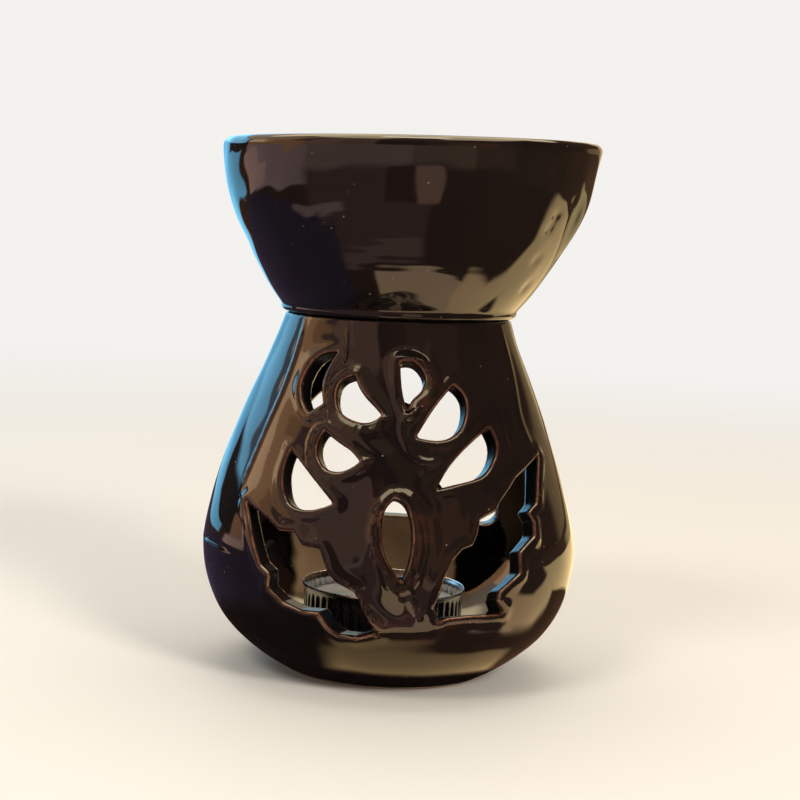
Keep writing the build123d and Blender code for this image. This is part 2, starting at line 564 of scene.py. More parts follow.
@dataclass(frozen=True)
class Glaze:
    """Gloss black-brown glaze that breaks to copper brown where it runs thin over an edge."""

    deep: Colour = (0.0038, 0.0034, 0.0034)
    warm: Colour = (0.0060, 0.0043, 0.0039)
    thin: Colour = (0.17, 0.075, 0.042)
    rusty: Colour = (0.035, 0.012, 0.007)
    clay: Colour = (0.50, 0.36, 0.25)
    # Painted reflection: tan tone low on the back of the inside, standing in for the black glaze
    # mirroring light.
    inner: Colour = (0.80, 0.52, 0.28)
    ash: Colour = (0.42, 0.33, 0.26)
    gloss: float = 0.035
    bare_rough: float = 0.85
    foot_line: float = 0.6 * MM
    foot_waver: float = 0.6 * MM
    pool_scale: float = 45.0
    swell_scale: float = 80.0
    cloud_scale: float = 170.0
    drag_scale: float = 360.0
    speck_scale: float = 430.0
    fine_scale: float = 1100.0
    speck_size: float = 0.1
    skin_height: float = 0.06 * MM
    cut_rough: float = 0.3
    cut_dullness: float = 0.6

    def material(self) -> bpy.types.Material:
        """Builds the glaze for the chamber and the dish.

        Returns:
            The material.
        """
        material, nodes = new_material("brown_black_glaze")
        place = nodes.place()
        turn = nodes.attribute("turn")
        ridge = nodes.attribute("ridge")
        pool = nodes.noise(place, self.pool_scale, 2.0)
        cloud = nodes.noise(place, self.cloud_scale, 3.0)
        fine = nodes.noise(place, self.fine_scale, 2.0)
        swell = nodes.noise(place, self.swell_scale, 1.0)
        near_edge = turn + (cloud - 0.5) * 0.16
        halo = near_edge.ramp(0.08, 0.3) * (1.0 - near_edge.ramp(0.6, 0.95))
        line = near_edge.ramp(0.2, 0.34) * (1.0 - near_edge.ramp(0.42, 0.62))
        broken = line * cloud.ramp(0.34, 0.62) * (fine.ramp(0.3, 0.6) * 0.6 + 0.4)
        crest = ridge.ramp(0.5, 1.0) * cloud.ramp(0.45, 0.7)
        specks = nodes.specks(place, self.speck_scale, self.speck_size) * cloud.ramp(0.52, 0.64)
        body = nodes.mix(pool.ramp(0.35, 0.7), self.deep, self.warm)
        body = nodes.mix((halo * 0.8).high(crest * 0.5), body, self.rusty)
        glazed = nodes.mix(broken, body, self.thin)
        glazed = nodes.mix(specks * 0.35, glazed, self.ash)
        # Painted reflection inside the chamber, by the stored share.
        glazed = nodes.mix(nodes.attribute("inner"), glazed, self.inner)
        height = nodes.split(place)[2] + (cloud - 0.5) * self.foot_waver
        bare = 1.0 - height.ramp(self.foot_line, self.foot_line * 1.4)
        colour = nodes.mix(bare, glazed, self.clay)
        cut = turn.ramp(0.75, 1.0)
        rough = broken * 0.16 + cut * 0.1 + cloud * 0.015 + specks * 0.3 + self.gloss
        roughness = rough.high(bare * self.bare_rough)
        dragged = cut * nodes.noise(place, self.drag_scale, 1.0) * 3.0
        skin = nodes.bump(swell - specks * 0.2 + dragged, self.skin_height, 0.5)
        glossy = nodes.principled(Base_Color=colour, Roughness=roughness, IOR=1.6, Normal=skin)
        dull = nodes.principled(Base_Color=colour, Roughness=self.cut_rough, Specular_IOR_Level=0.12,
                                Normal=skin)
        nodes.finish(nodes.either(cut * self.cut_dullness, glossy, dull))
        return material


@dataclass(frozen=True)
class Foil:
    """Bright pressed aluminium of the tea light's cup."""

    metal: Colour = (0.78, 0.785, 0.79)
    dulled: Colour = (0.62, 0.62, 0.62)
    crease_scale: float = 240.0
    drawn_scale: float = 2600.0
    skin_height: float = 0.08 * MM

    def material(self) -> bpy.types.Material:
        """Builds the foil.

        Returns:
            The material.
        """
        material, nodes = new_material("pressed_foil")
        drawn = nodes.noise(nodes.scaled((1.0, 1.0, 0.06)), self.drawn_scale, 2.0)
        crease = nodes.noise(nodes.place(), self.crease_scale, 3.0)
        skin = nodes.bump(crease * 0.7 + drawn * 0.3, self.skin_height, 0.6)
        colour = nodes.mix(crease.ramp(0.3, 0.7) * 0.25, self.metal, self.dulled)
        nodes.finish(nodes.principled(Base_Color=colour, Metallic=1.0, Roughness=drawn * 0.12 + 0.2,
                                      Normal=skin))
        return material


@dataclass(frozen=True)
class Wax:
    """White paraffin wax, slightly clear at its edges."""

    white: Colour = (0.84, 0.815, 0.75)
    cream: Colour = (0.76, 0.73, 0.66)
    cloud_scale: float = 180.0
    fine_scale: float = 1500.0
    skin_height: float = 0.12 * MM

    def material(self) -> bpy.types.Material:
        """Builds the wax.

        Returns:
            The material.
        """
        material, nodes = new_material("paraffin_wax")
        cloud = nodes.noise(nodes.place(), self.cloud_scale, 3.0)
        fine = nodes.noise(nodes.place(), self.fine_scale, 2.0)
        colour = nodes.mix(cloud.ramp(0.3, 0.75) * 0.4, self.white, self.cream)
        skin = nodes.bump(cloud * 0.7 + fine * 0.3, self.skin_height, 0.5)
        nodes.finish(nodes.principled(Base_Color=colour, Roughness=cloud * 0.15 + 0.32, Normal=skin,
                                      Subsurface_Weight=0.35, Subsurface_Scale=1.0,
                                      Subsurface_Radius=(0.003, 0.0024, 0.0018)))
        return material


@dataclass(frozen=True)
class Cotton:
    """Waxed cotton of the wick."""

    thread: Colour = (0.78, 0.735, 0.63)
    shade: Colour = (0.55, 0.48, 0.36)
    fibre_scale: float = 3800.0
    skin_height: float = 0.15 * MM

    def material(self) -> bpy.types.Material:
        """Builds the cotton.

        Returns:
            The material.
        """
        material, nodes = new_material("waxed_cotton")
        fibre = nodes.noise(nodes.scaled((1.0, 1.0, 0.3)), self.fibre_scale, 3.0)
        colour = nodes.mix(fibre.ramp(0.3, 0.75) * 0.6, self.thread, self.shade)
        skin = nodes.bump(fibre, self.skin_height, 0.8)
        nodes.finish(nodes.principled(Base_Color=colour, Roughness=fibre * 0.2 + 0.6, Normal=skin))
        return material


@dataclass(frozen=True)
class Tinplate:
    """Tinned steel of the disc that holds the wick."""

    metal: Colour = (0.55, 0.55, 0.56)
    dulled: Colour = (0.4, 0.4, 0.41)
    grain_scale: float = 3000.0

    def material(self) -> bpy.types.Material:
        """Builds the tinplate.

        Returns:
            The material.
        """
        material, nodes = new_material("tinplate")
        grain = nodes.noise(nodes.scaled((1.0, 0.08, 1.0)), self.grain_scale, 2.0)
        colour = nodes.mix(grain.ramp(0.35, 0.7) * 0.4, self.metal, self.dulled)
        nodes.finish(nodes.principled(Base_Color=colour, Metallic=1.0, Roughness=grain * 0.15 + 0.28))
        return material


# Cut-outs and relief


@dataclass(frozen=True)
class CutOut:
    """One opening cut square through the wall at its middle."""

    name: str
    azimuth: float
    level: float
    width: float
    height: float
    runs: tuple[Pairs, ...]
    straight: bool = False
    lip: float = 0.3 * MM
    lip_width: float = 1.3 * MM

    def outline(self) -> Array:
        """Draws the opening in the plane of the wall, from its runs of shares.

        Returns:
            Corners of the closed outline, in order.
        """
        pieces = []
        for run in self.runs:
            curved = len(run) > 2 and not self.straight
            pieces.append((smooth_curve(run, 20) if curved else np.array(run))[:-1])
        return np.vstack(pieces) * (self.width, self.height)


LEAVES = (
    CutOut("narrow_left", -34.2, 70.3 * MM, 7.4 * MM, 14.6 * MM, (
        ((0.45, 0.5), (-0.05, 0.43), (-0.42, 0.22), (-0.5, 0.0), (-0.35, -0.25), (0.1, -0.5)),
        ((0.1, -0.5), (0.45, -0.34)),
        ((0.45, -0.34), (0.22, 0.02), (0.45, 0.5)))),
    CutOut("upper_left", -13.5, 67.3 * MM, 10.8 * MM, 10.5 * MM, (
        ((-0.18, 0.5), (-0.43, 0.37), (-0.5, 0.05), (-0.38, -0.29), (-0.1, -0.47), (0.25, -0.5),
         (0.5, -0.32)),
        ((0.5, -0.32), (0.27, -0.08), (0.02, 0.15), (-0.18, 0.5)))),
    CutOut("middle_left", -18.1, 55.7 * MM, 10.2 * MM, 8.6 * MM, (
        ((-0.4, 0.5), (-0.5, 0.2), (-0.43, -0.22), (-0.2, -0.48), (0.12, -0.5), (0.5, -0.2)),
        ((0.5, -0.2), (0.2, 0.1), (-0.12, 0.3), (-0.4, 0.5)))),
    CutOut("lower_left", -27.1, 48.9 * MM, 13.6 * MM, 12.9 * MM, (
        ((-0.45, 0.5), (-0.5, 0.25), (-0.45, -0.12), (-0.27, -0.42), (0.05, -0.5), (0.5, -0.33)),
        ((0.5, -0.33), (0.22, -0.08), (-0.1, 0.2), (-0.45, 0.5)))),
    CutOut("top_centre", 7.3, 70.5 * MM, 5.4 * MM, 10.9 * MM, (
        ((-0.5, 0.48), (-0.1, 0.5), (0.32, 0.36), (0.5, 0.12), (0.3, -0.12), (-0.04, -0.29),
         (-0.25, -0.5)),
        ((-0.25, -0.5), (-0.43, -0.1), (-0.5, 0.48))), lip=0.6 * MM),
    CutOut("upper_right", 18.1, 65.1 * MM, 12.0 * MM, 12.6 * MM, (
        ((0.29, 0.5), (0.47, 0.33), (0.49, 0.0), (0.32, -0.32), (0.03, -0.49), (-0.5, -0.44)),
        ((-0.5, -0.44), (-0.27, -0.12), (0.02, 0.23), (0.29, 0.5)))),
    CutOut("middle_right", 26.4, 55.6 * MM, 15.9 * MM, 13.5 * MM, (
        ((0.42, 0.5), (0.5, 0.27), (0.43, -0.04), (0.2, -0.31), (-0.13, -0.42), (-0.5, -0.5)),
        ((-0.5, -0.5), (-0.3, -0.18), (0.0, 0.15), (0.42, 0.5)))),
    CutOut("central", 2.5, 37.9 * MM, 6.6 * MM, 17.6 * MM, (
        ((-0.12, 0.5), (0.28, 0.4), (0.48, 0.13), (0.47, -0.15), (0.2, -0.5)),
        ((0.2, -0.5), (-0.25, -0.26), (-0.48, 0.0), (-0.45, 0.3), (-0.12, 0.5))), lip=0.7 * MM),
)

JAGGED = (
    CutOut("left_jagged", -26.6, 28.9 * MM, 33.3 * MM, 26.1 * MM, ((
        (-0.5, 0.5), (-0.4, 0.27), (-0.29, 0.02), (-0.21, -0.04), (-0.22, -0.17), (-0.11, -0.27),
        (0.02, -0.32), (0.16, -0.31), (0.21, -0.44), (0.27, -0.5), (0.38, -0.5), (0.5, -0.44),
        (0.45, -0.27), (0.4, -0.11), (0.27, -0.04), (0.21, 0.05), (0.15, 0.22), (0.02, 0.23),
        (-0.05, 0.33), (-0.17, 0.32), (-0.28, 0.4), (-0.5, 0.5)),), straight=True, lip=0.4 * MM),
    CutOut("right_jagged", 36.2, 39.0 * MM, 32.3 * MM, 34.5 * MM, ((
        (0.5, 0.5), (0.2, 0.35), (0.02, 0.2), (-0.02, 0.15), (-0.16, 0.1), (-0.19, 0.01),
        (-0.23, -0.06), (-0.31, -0.08), (-0.39, -0.14), (-0.45, -0.25), (-0.5, -0.43), (-0.45, -0.49),
        (-0.24, -0.49), (0.03, -0.5), (-0.04, -0.42), (-0.03, -0.36), (0.15, -0.25), (0.15, -0.12),
        (0.31, -0.02), (0.32, 0.07), (0.27, 0.13), (0.38, 0.19), (0.43, 0.33), (0.5, 0.5)),),
        straight=True, lip=0.4 * MM),
)


@dataclass(frozen=True)
class Ridge:
    """A soft raised or sunk line on the wall, through points of azimuth and level in millimetres."""

    width: float
    height: float
    points: Pairs


RIDGES = (
    Ridge(0.9 * MM, 0.42 * MM, (
        (19.6, 80.6), (15.6, 79.0), (15.3, 76.8), (17.1, 73.5), (16.3, 70.4), (14.2, 68.0), (9.3, 65.5),
        (5.5, 64.2), (3.5, 62.9), (3.3, 60.5), (4.6, 58.2), (6.6, 56.1), (10.0, 54.8), (13.8, 54.6),
        (16.2, 55.9), (16.1, 57.7))),
    Ridge(0.5 * MM, 0.25 * MM, ((2.3, 76.0), (7.3, 76.6), (12.3, 75.6), (14.3, 73.4))),
    Ridge(0.8 * MM, 0.35 * MM, (
        (1.6, 76.9), (8.7, 76.5), (13.8, 74.5), (15.5, 71.1), (12.3, 68.0), (8.4, 65.5))),
    Ridge(1.0 * MM, 0.4 * MM, ((11.4, 52.9), (10.0, 49.5), (12.5, 47.1), (14.9, 43.7))),
    Ridge(2.0 * MM, 0.5 * MM, (
        (-6.1, 52.4), (-4.7, 46.1), (-5.3, 39.8), (-3.1, 33.5), (1.8, 26.8), (5.9, 20.0))),
    Ridge(2.0 * MM, 0.45 * MM, ((10.6, 46.5), (12.7, 38.2), (12.5, 30.8), (11.2, 24.0), (10.2, 18.5))),
    Ridge(0.75 * MM, 0.55 * MM, (
        (1.8, 48.0), (5.3, 47.8), (8.5, 45.9), (10.0, 42.4), (10.9, 38.2), (10.5, 34.2), (9.2, 30.2),
        (7.4, 27.0))),
    Ridge(0.55 * MM, 0.4 * MM, (
        (4.1, 45.8), (6.3, 44.1), (7.4, 41.1), (7.7, 37.5), (7.2, 34.2), (5.9, 31.1), (4.7, 29.8))),
    Ridge(0.8 * MM, 0.45 * MM, (
        (1.6, 47.9), (-1.6, 46.0), (-3.9, 42.0), (-4.6, 38.9), (-2.9, 35.4), (-1.0, 31.8), (1.2, 27.5),
        (4.3, 24.7))),
    Ridge(0.9 * MM, -0.7 * MM, ((3.4, 28.2), (4.5, 28.3), (5.6, 28.4))),
    Ridge(1.0 * MM, 0.35 * MM, ((6.6, 26.4), (8.5, 23.2), (10.7, 19.2))),
    Ridge(0.6 * MM, 0.4 * MM, ((-13.1, 27.6), (-8.8, 26.0), (-5.4, 21.0), (-2.8, 17.0))),
    Ridge(0.5 * MM, 0.3 * MM, ((28.3, 39.9), (26.0, 36.0), (19.2, 34.0), (16.8, 29.0), (14.3, 24.2))),
    Ridge(0.4 * MM, 0.18 * MM, (
        (-25.5, 84.1), (-24.4, 81.8), (-23.2, 78.1), (-23.3, 74.6), (-26.8, 72.0), (-26.7, 68.6),
        (-24.7, 64.3), (-22.9, 60.7))),
    Ridge(0.4 * MM, 0.18 * MM, (
        (-23.7, 61.3), (-28.1, 60.7), (-30.0, 58.4), (-29.7, 55.3), (-27.7, 52.1), (-25.2, 49.2))),
    Ridge(0.5 * MM, 0.25 * MM, ((-18.7, 72.9), (-16.3, 72.4), (-16.8, 71.1))),
    Ridge(0.6 * MM, 0.3 * MM, ((-6.0, 63.9), (-3.9, 63.7), (-1.8, 63.4))),
    Ridge(0.6 * MM, 0.3 * MM, ((-10.9, 54.1), (-8.3, 54.4), (-5.7, 54.8))),
    Ridge(1.4 * MM, 0.3 * MM, ((-12.8, 60.9), (-8.0, 60.2), (-4.0, 60.9))),
    Ridge(1.6 * MM, 0.35 * MM, ((-37.3, 63.6), (-23.1, 61.4), (-12.7, 59.3), (-4.0, 56.2), (0.3, 52.7))),
    Ridge(0.5 * MM, 0.2 * MM, ((-85.0, 30.4), (-70.0, 30.2), (-54.0, 29.6))),
    Ridge(3.4 * MM, 1.25 * MM, ((-9.0, 19.5), (-3.0, 18.2), (6.0, 17.8), (14.0, 18.2), (19.0, 19.0))),
    Ridge(0.6 * MM, 0.45 * MM, (
        (-52.3, 83.2), (-50.5, 73.0), (-50.3, 68.0), (-52.1, 58.1), (-54.3, 48.2), (-55.1, 43.8))),
    Ridge(0.6 * MM, 0.2 * MM, ((47.1, 83.4), (45.6, 74.0), (44.3, 65.2), (44.5, 54.0))),
    Ridge(1.0 * MM, 0.3 * MM, ((62.3, 83.3), (58.7, 70.7), (55.8, 64.4), (57.6, 58.7), (60.0, 56.3))),
)


@dataclass(frozen=True)
class Lean:
    """The small hand-made lean of the pot: the dish tips and the walls bow to the right."""

    neck_level: float = NECK_LEVEL
    dish_height: float = DISH_HEIGHT
    dish_shift: float = 1.4 * MM
    foot_shift: float = 0.8 * MM
    neck_tilt: float = 0.0125
    rim_tilt: float = 0.0326

    def amounts(self, level: Array) -> tuple[Array, Array]:
        """Works out the lean.

        Args:
            level: heights above the foot.

        Returns:
            How far each level moves across, and how much it tips.
        """
        rise = np.clip((level - self.neck_level) / self.dish_height, 0.0, 1.0)
        share = np.clip(level / self.neck_level, 0.0, 1.0)
        shift = self.dish_shift * rise + self.foot_shift * (1 - share)
        return shift, self.neck_tilt * share**2 + (self.rim_tilt - self.neck_tilt) * rise

    def bend(self, points: Array) -> Array:
        """Moves points with the lean.

        Args:
            points: rows of three coordinates.

        Returns:
            The moved rows.
        """
        shift, tilt = self.amounts(points[:, 2])
        moved = points.copy()
        moved[:, 0] += shift
        moved[:, 2] += points[:, 0] * tilt
        return moved

    def turn(self, points: Array, normals: Array) -> Array:
        """Turns normals with the lean.

        Args:
            points: where the normals are, before the lean.
            normals: one row per point.

        Returns:
            The turned rows, of length 1.
        """
        step = 0.1 * MM
        above, below = self.amounts(points[:, 2] + step), self.amounts(points[:, 2] - step)
        shear = (above[0] - below[0]) / (2 * step)
        growth = 1 + points[:, 0] * (above[1] - below[1]) / (2 * step)
        tilt = self.amounts(points[:, 2])[1]
        across, along, up = normals.T
        turned_normals = np.stack((growth * across - tilt * up, (growth - shear * tilt) * along,
                                   up - shear * across), axis=1)
        return turned_normals / np.linalg.norm(turned_normals, axis=1)[:, None]


# Chamber


@dataclass
class Chamber:
    """The pear-shaped chamber: a turned shell with its cut-outs, arch and soft relief."""

    foot_radius: float = 23.0 * MM
    belly_radius: float = BELLY_RADIUS
    belly_level: float = 30.0 * MM
    neck_radius: float = NECK_RADIUS
    neck_level: float = NECK_LEVEL
    wall: float = 4.5 * MM
    floor_thickness: float = 5.0 * MM
    floor_radius: float = 20.75 * MM
    foot_ring: float = 4.0 * MM
    foot_recess_depth: float = 1.5 * MM
    arch_width: float = 54.0 * MM
    arch_sill_level: float = 30.3 * MM
    arch_top_level: float = 70.0 * MM
    arch_corner: float = 4.0 * MM
    arch_lip: float = 0.25 * MM
    lip_reach: float = 6.0 * MM
    relief_start: float = 6.0 * MM
    relief_full: float = 14.0 * MM
    edge_round: float = 0.8 * MM
    section_pitch: float = 0.25 * MM
    section_softness: float = 0.45 * MM
    outline_softness: float = 0.22 * MM
    voxel: float = 1.15 * MM
    fine_reach: float = 2.4 * MM
    finest_reach: float = 1.1 * MM
    front_turn: float = 72.0
    lower_side_shares: Pairs = ((0.0, 0.0), (0.4, 0.165), (0.74, 0.39), (0.93, 0.66))
    upper_side_shares: Pairs = ((0.91, 0.18), (0.745, 0.365), (0.54, 0.55), (0.31, 0.73), (0.09, 0.91))
    wobble: Ripple = Ripple(seed=7, wavelength=34 * MM, height=0.12 * MM)
    shimmer: Ripple = Ripple(seed=11, wavelength=11 * MM, height=0.03 * MM)
    lumps: Ripple = Ripple(seed=13, wavelength=7 * MM, height=0.3)
    lean: Lean = Lean()
    side: Array = field(init=False)

    def __post_init__(self) -> None:
        """Works out the wall's side and the fields that the shape is read from."""
        swell, rise = self.belly_radius - self.foot_radius, self.belly_level
        lower = [(self.foot_radius + out * swell, up * rise) for out, up in self.lower_side_shares]
        swell, rise = self.belly_radius - self.neck_radius, self.neck_level - self.belly_level
        upper = [(self.neck_radius + out * swell, self.belly_level + up * rise)
                 for out, up in self.upper_side_shares]
        middle = [(self.belly_radius, self.belly_level)]
        self.side = smooth_curve(lower + middle + upper + [(self.neck_radius, self.neck_level)], 120)
        reach = self.belly_radius + 8 * MM
        low, high = (-2 * MM, -6 * MM), (reach, self.neck_level + 6 * MM)
        self.section_field = Field.build(low, high, self.section_pitch,
                                         lambda points: signed_distance(points, self.section(True)),
                                         self.section_softness)
        self.openings = [self.opening(cut) for cut in LEAVES + JAGGED] + [self.arch()]
        self.relief_field = Field.build((-110.0, 4.0), (110.0, 88.0), 0.25, self.relief_heights)

    def section(self, past_axis: bool = False) -> Array:
        """Draws the outline of the wall, floor and foot.

        Args:
            past_axis: closes the outline a little beyond the axis, for distances.

        Returns:
            Rows of radius and height.
        """
        axis = -2 * MM if past_axis else 0.0
        recess = self.foot_radius - self.foot_ring
        lining = inset_curve(self.side, self.wall)
        kept = lining[lining[:, 1] > self.floor_thickness + self.wall / 2]
        lining = smooth_curve([(self.floor_radius, self.floor_thickness), *kept[::8], kept[-1]], 90)
        bottom = [(axis, self.foot_recess_depth), (recess, self.foot_recess_depth), (recess, 0.0)]
        top = [(lining[-1][0], self.neck_level)]
        return np.vstack((bottom, self.side, top, lining[::-1], [(axis, self.floor_thickness)]))

    def side_at(self, level: Array) -> Array:
        """Radius of the outside of the wall at a level."""
        return np.interp(level, self.side[:, 1], self.side[:, 0])

    def wall_frame(self, azimuth: float, level: float) -> tuple[Array, Array]:
        """Finds a spot on the wall.

        Args:
            azimuth: where it is, in degrees from the front.
            level: its height above the foot.

        Returns:
            The spot, and the directions across, up and out from it, as rows.
        """
        along = np.gradient(self.side, axis=0)
        rise = np.array([np.interp(level, self.side[:, 1], along[:, axis]) for axis in (0, 1)])
        rise /= np.linalg.norm(rise)
        turn = math.radians(azimuth)
        ahead = np.array((math.sin(turn), -math.cos(turn), 0.0))
        across = np.array((math.cos(turn), math.sin(turn), 0.0))
        out = ahead * rise[1] + np.array((0.0, 0.0, -rise[0]))
        up = ahead * rise[0] + np.array((0.0, 0.0, rise[1]))
        return ahead * self.side_at(level) + np.array((0.0, 0.0, level)), np.stack((across, up, out))

    def opening(self, cut: CutOut) -> "Opening":
        """Places a cut-out on the wall.

        Args:
            cut: the cut-out.

        Returns:
            Its opening.
        """
        origin, axes = self.wall_frame(cut.azimuth, cut.level)
        reach = cut.width / 2 + self.wall
        return Opening(cut.outline(), origin, axes, reach, self.outline_softness, cut.lip, cut.lip_width)

    def arch(self) -> "Opening":
        """Places the arch behind, cut straight along Y.

        Returns:
            Its opening.
        """
        half = self.arch_width / 2
        spring = self.arch_top_level - half
        turns = np.linspace(0.0, math.pi, 33)
        bend = self.arch_corner
        quarter = np.linspace(0.0, math.pi / 2, 7)
        crown = [(half * math.cos(turn), spring + half * math.sin(turn)) for turn in turns]
        low = self.arch_sill_level + bend
        left = [(-half + bend - bend * math.cos(turn), low - bend * math.sin(turn)) for turn in quarter]
        right = [(-across, up) for across, up in reversed(left)]
        axes = np.array(((-1.0, 0.0, 0.0), (0.0, 0.0, 1.0), (0.0, 1.0, 0.0)))
        origin = np.array((0.0, self.belly_radius, 0.0))
        return Opening(np.array(crown + left + right), origin, axes, self.belly_radius * 0.75,
                       self.outline_softness, self.arch_lip, CutOut.lip_width)

    def relief_heights(self, spots: Array) -> Array:
        """Works out the soft relief.

        Args:
            spots: rows of azimuth in degrees and level in millimetres.

        Returns:
            One height per row.
        """
        level = spots[:, 1] * MM
        turn = np.radians(spots[:, 0])
        radius = self.side_at(level)
        points = np.stack((radius * np.sin(turn), -radius * np.cos(turn), level), axis=1)
        height = np.zeros(len(spots))
        for opening in self.openings[:-1]:
            gap = opening.distance(points)
            near = np.flatnonzero(gap < self.lip_reach)
            lip = opening.lip * np.exp(-((gap[near] - opening.lip_width) / opening.lip_width) ** 2)
            lumpy = np.clip(1 + self.lumps.read(points[near]), 0.3, 1.7)
            height[near] = np.maximum(height[near], lip * lumpy)
        for ridge in RIDGES:
            knots = np.array([self.wall_frame(azimuth, up * MM)[0] for azimuth, up in ridge.points])
            line = smooth_curve(knots, 32)
            reach = 3 * ridge.width
            low, high = line.min(axis=0) - reach, line.max(axis=0) + reach
            near = np.flatnonzero(((points > low) & (points < high)).all(axis=1))
            gap, along = line_distance(points[near], line)
            taper = smooth_step(0.0, 0.15, along) * smooth_step(0.0, 0.15, 1 - along)
            height[near] += ridge.height * np.exp(-(gap / ridge.width) ** 2) * (0.25 + 0.75 * taper)
        return height * smooth_step(self.relief_start, self.relief_full, level)

    def relief(self, points: Array) -> Array:
        """Reads the relief on the outside of the wall.

        Args:
            points: rows of three coordinates.

        Returns:
            One height per point.
        """
        azimuth = np.degrees(np.arctan2(points[:, 0], -points[:, 1]))
        front = 1 - smooth_step(80.0, 100.0, np.abs(azimuth))
        height = self.relief_field.read(np.clip(azimuth, -105.0, 105.0), points[:, 2] / MM) * front
        radius = np.hypot(points[:, 0], points[:, 1])
        middle = self.side_at(points[:, 2]) - self.wall / 2
        return height * smooth_step(-0.3 * self.wall, 0.3 * self.wall, radius - middle)

    def shell_distance(self, points: Array) -> Array:
        """Distance to the uncut shell, with its relief and unevenness.

        Args:
            points: rows of three coordinates.

        Returns:
            One distance per point, negative in the wall.
        """
        radius = np.hypot(points[:, 0], points[:, 1])
        gap = self.section_field.read(radius, points[:, 2])
        level = points[:, 2]
        free = smooth_step(1 * MM, 8 * MM, level) * smooth_step(1 * MM, 6 * MM, self.neck_level - level)
        uneven = (self.wobble.read(points) + self.shimmer.read(points)) * free
        return gap - self.relief(points) - uneven

    def cut_distance(self, points: Array) -> Array:
        """Distance to the nearest cut-out's side.

        Args:
            points: rows of three coordinates.

        Returns:
            One distance per point, positive inside the material around it.
        """
        nearest = np.full(len(points), 1.0)
        for opening in self.openings:
            nearest = np.minimum(nearest, opening.distance(points))
        return nearest

    def distance(self, points: Array) -> Array:
        """Distance to the finished surface, with rounded edges at the cut-outs.

        Args:
            points: rows of three coordinates.

        Returns:
            One distance per point, negative in the wall.
        """
        shell = self.shell_distance(points)
        cut = -self.cut_distance(points)
        over = np.maximum(shell + self.edge_round, 0.0)
        under = np.maximum(cut + self.edge_round, 0.0)
        return np.minimum(np.maximum(shell, cut), -self.edge_round) + np.hypot(over, under)

    def gradient(self, points: Array) -> Array:
        """Direction in which the distance to the finished surface grows.

        Args:
            points: rows of three coordinates.

        Returns:
            One row per point.
        """
        step = 0.05 * MM
        slopes = []
        for axis in np.eye(3) * step:
            slopes.append((self.distance(points + axis) - self.distance(points - axis)) / (2 * step))
        return np.stack(slopes, axis=1)

    def settle(self, points: Array, rounds: int) -> Array:
        """Moves points onto the finished surface.

        Args:
            points: rows of three coordinates.
            rounds: how many steps they take towards it.

        Returns:
            The moved rows.
        """
        step = 0.04 * MM
        for _ in range(rounds):
            here = self.distance(points)
            ahead = [self.distance(points + axis) for axis in np.eye(3) * step]
            slope = np.stack([(there - here) / step for there in ahead], axis=1)
            reach = np.maximum((slope * slope).sum(axis=1), 0.2)
            points = points - np.clip((here / reach)[:, None] * slope, -0.6 * MM, 0.6 * MM)
        return points

    def rough_mesh(self) -> bpy.types.Mesh:
        """Makes a closed, evenly divided mesh of the pierced shell.

        Returns:
            The mesh, before it is settled on the finished surface.
        """
        section = self.section()
        blank = as_object(turned(np.vstack((section[0:3], section[3::4], section[-1:])), 96), "blank")
        cutters = [opening.cutter() for opening in self.openings]
        for cutter in cutters:
            cut = blank.modifiers.new("cut", "BOOLEAN")
            cut.operation = "DIFFERENCE"
            cut.solver = "EXACT"
            cut.object = cutter
        even = blank.modifiers.new("even", "REMESH")
        even.mode = "VOXEL"
        even.voxel_size = self.voxel
        rough = baked(blank)
        for helper in [blank, *cutters]:
            bpy.data.objects.remove(helper)
        return rough

    def painted_inner_reflection(self, points: Array) -> Array:
        """Share of the painted reflection inside: a tan tone, low on the back of the inside, that stands
        in for the black glaze mirroring light.

        Args:
            points: rows of three coordinates.

        Returns:
            One share per point.
        """
        across, along, level = points.T
        past_middle = np.hypot(across, along) - self.side_at(level) + self.wall / 2
        inside = 1 - smooth_step(-1.0 * MM, 0.0, past_middle)
        waver = self.lumps.read(points) * 2 * MM
        low = 1 - smooth_step(29.0 * MM, 30.5 * MM, level)
        wavy = across + waver
        span = smooth_step(-24.5 * MM, -22.5 * MM, wavy) * (1 - smooth_step(15.5 * MM, 17 * MM, wavy))
        # Painted reflection, made stronger towards +X to even out the light inside.
        painted_strength = 0.6 + 0.2 * smooth_step(-20 * MM, -6 * MM, across)
        return inside * low * span * painted_strength * smooth_step(0.0, 2 * MM, along)

    def refine(self, mesh: bmesh.types.BMesh, wanted: Array, rounds: int) -> None:
        """Divides the edges between wanted vertices and relaxes the mesh on the surface.

        Args:
            mesh: the mesh to change.
            wanted: one true or false per vertex.
            rounds: how often to smooth and settle it afterwards.
        """
        edges = [edge for edge in mesh.edges if all(wanted[vertex.index] for vertex in edge.verts)]
        bmesh.ops.subdivide_edges(mesh, edges=edges, cuts=1, use_grid_fill=True)
        bmesh.ops.triangulate(mesh, faces=[face for face in mesh.faces if len(face.verts) > 4])
        mesh.verts.index_update()
        for _ in range(rounds):
            bmesh.ops.smooth_vert(mesh, verts=mesh.verts, factor=0.5, use_axis_x=True, use_axis_y=True,
                                  use_axis_z=True)
            move_to(mesh, self.settle(positions(mesh), 1))
        LOG.info("glazed_chamber: %d vertices after dividing %d edges", len(mesh.verts), len(edges))

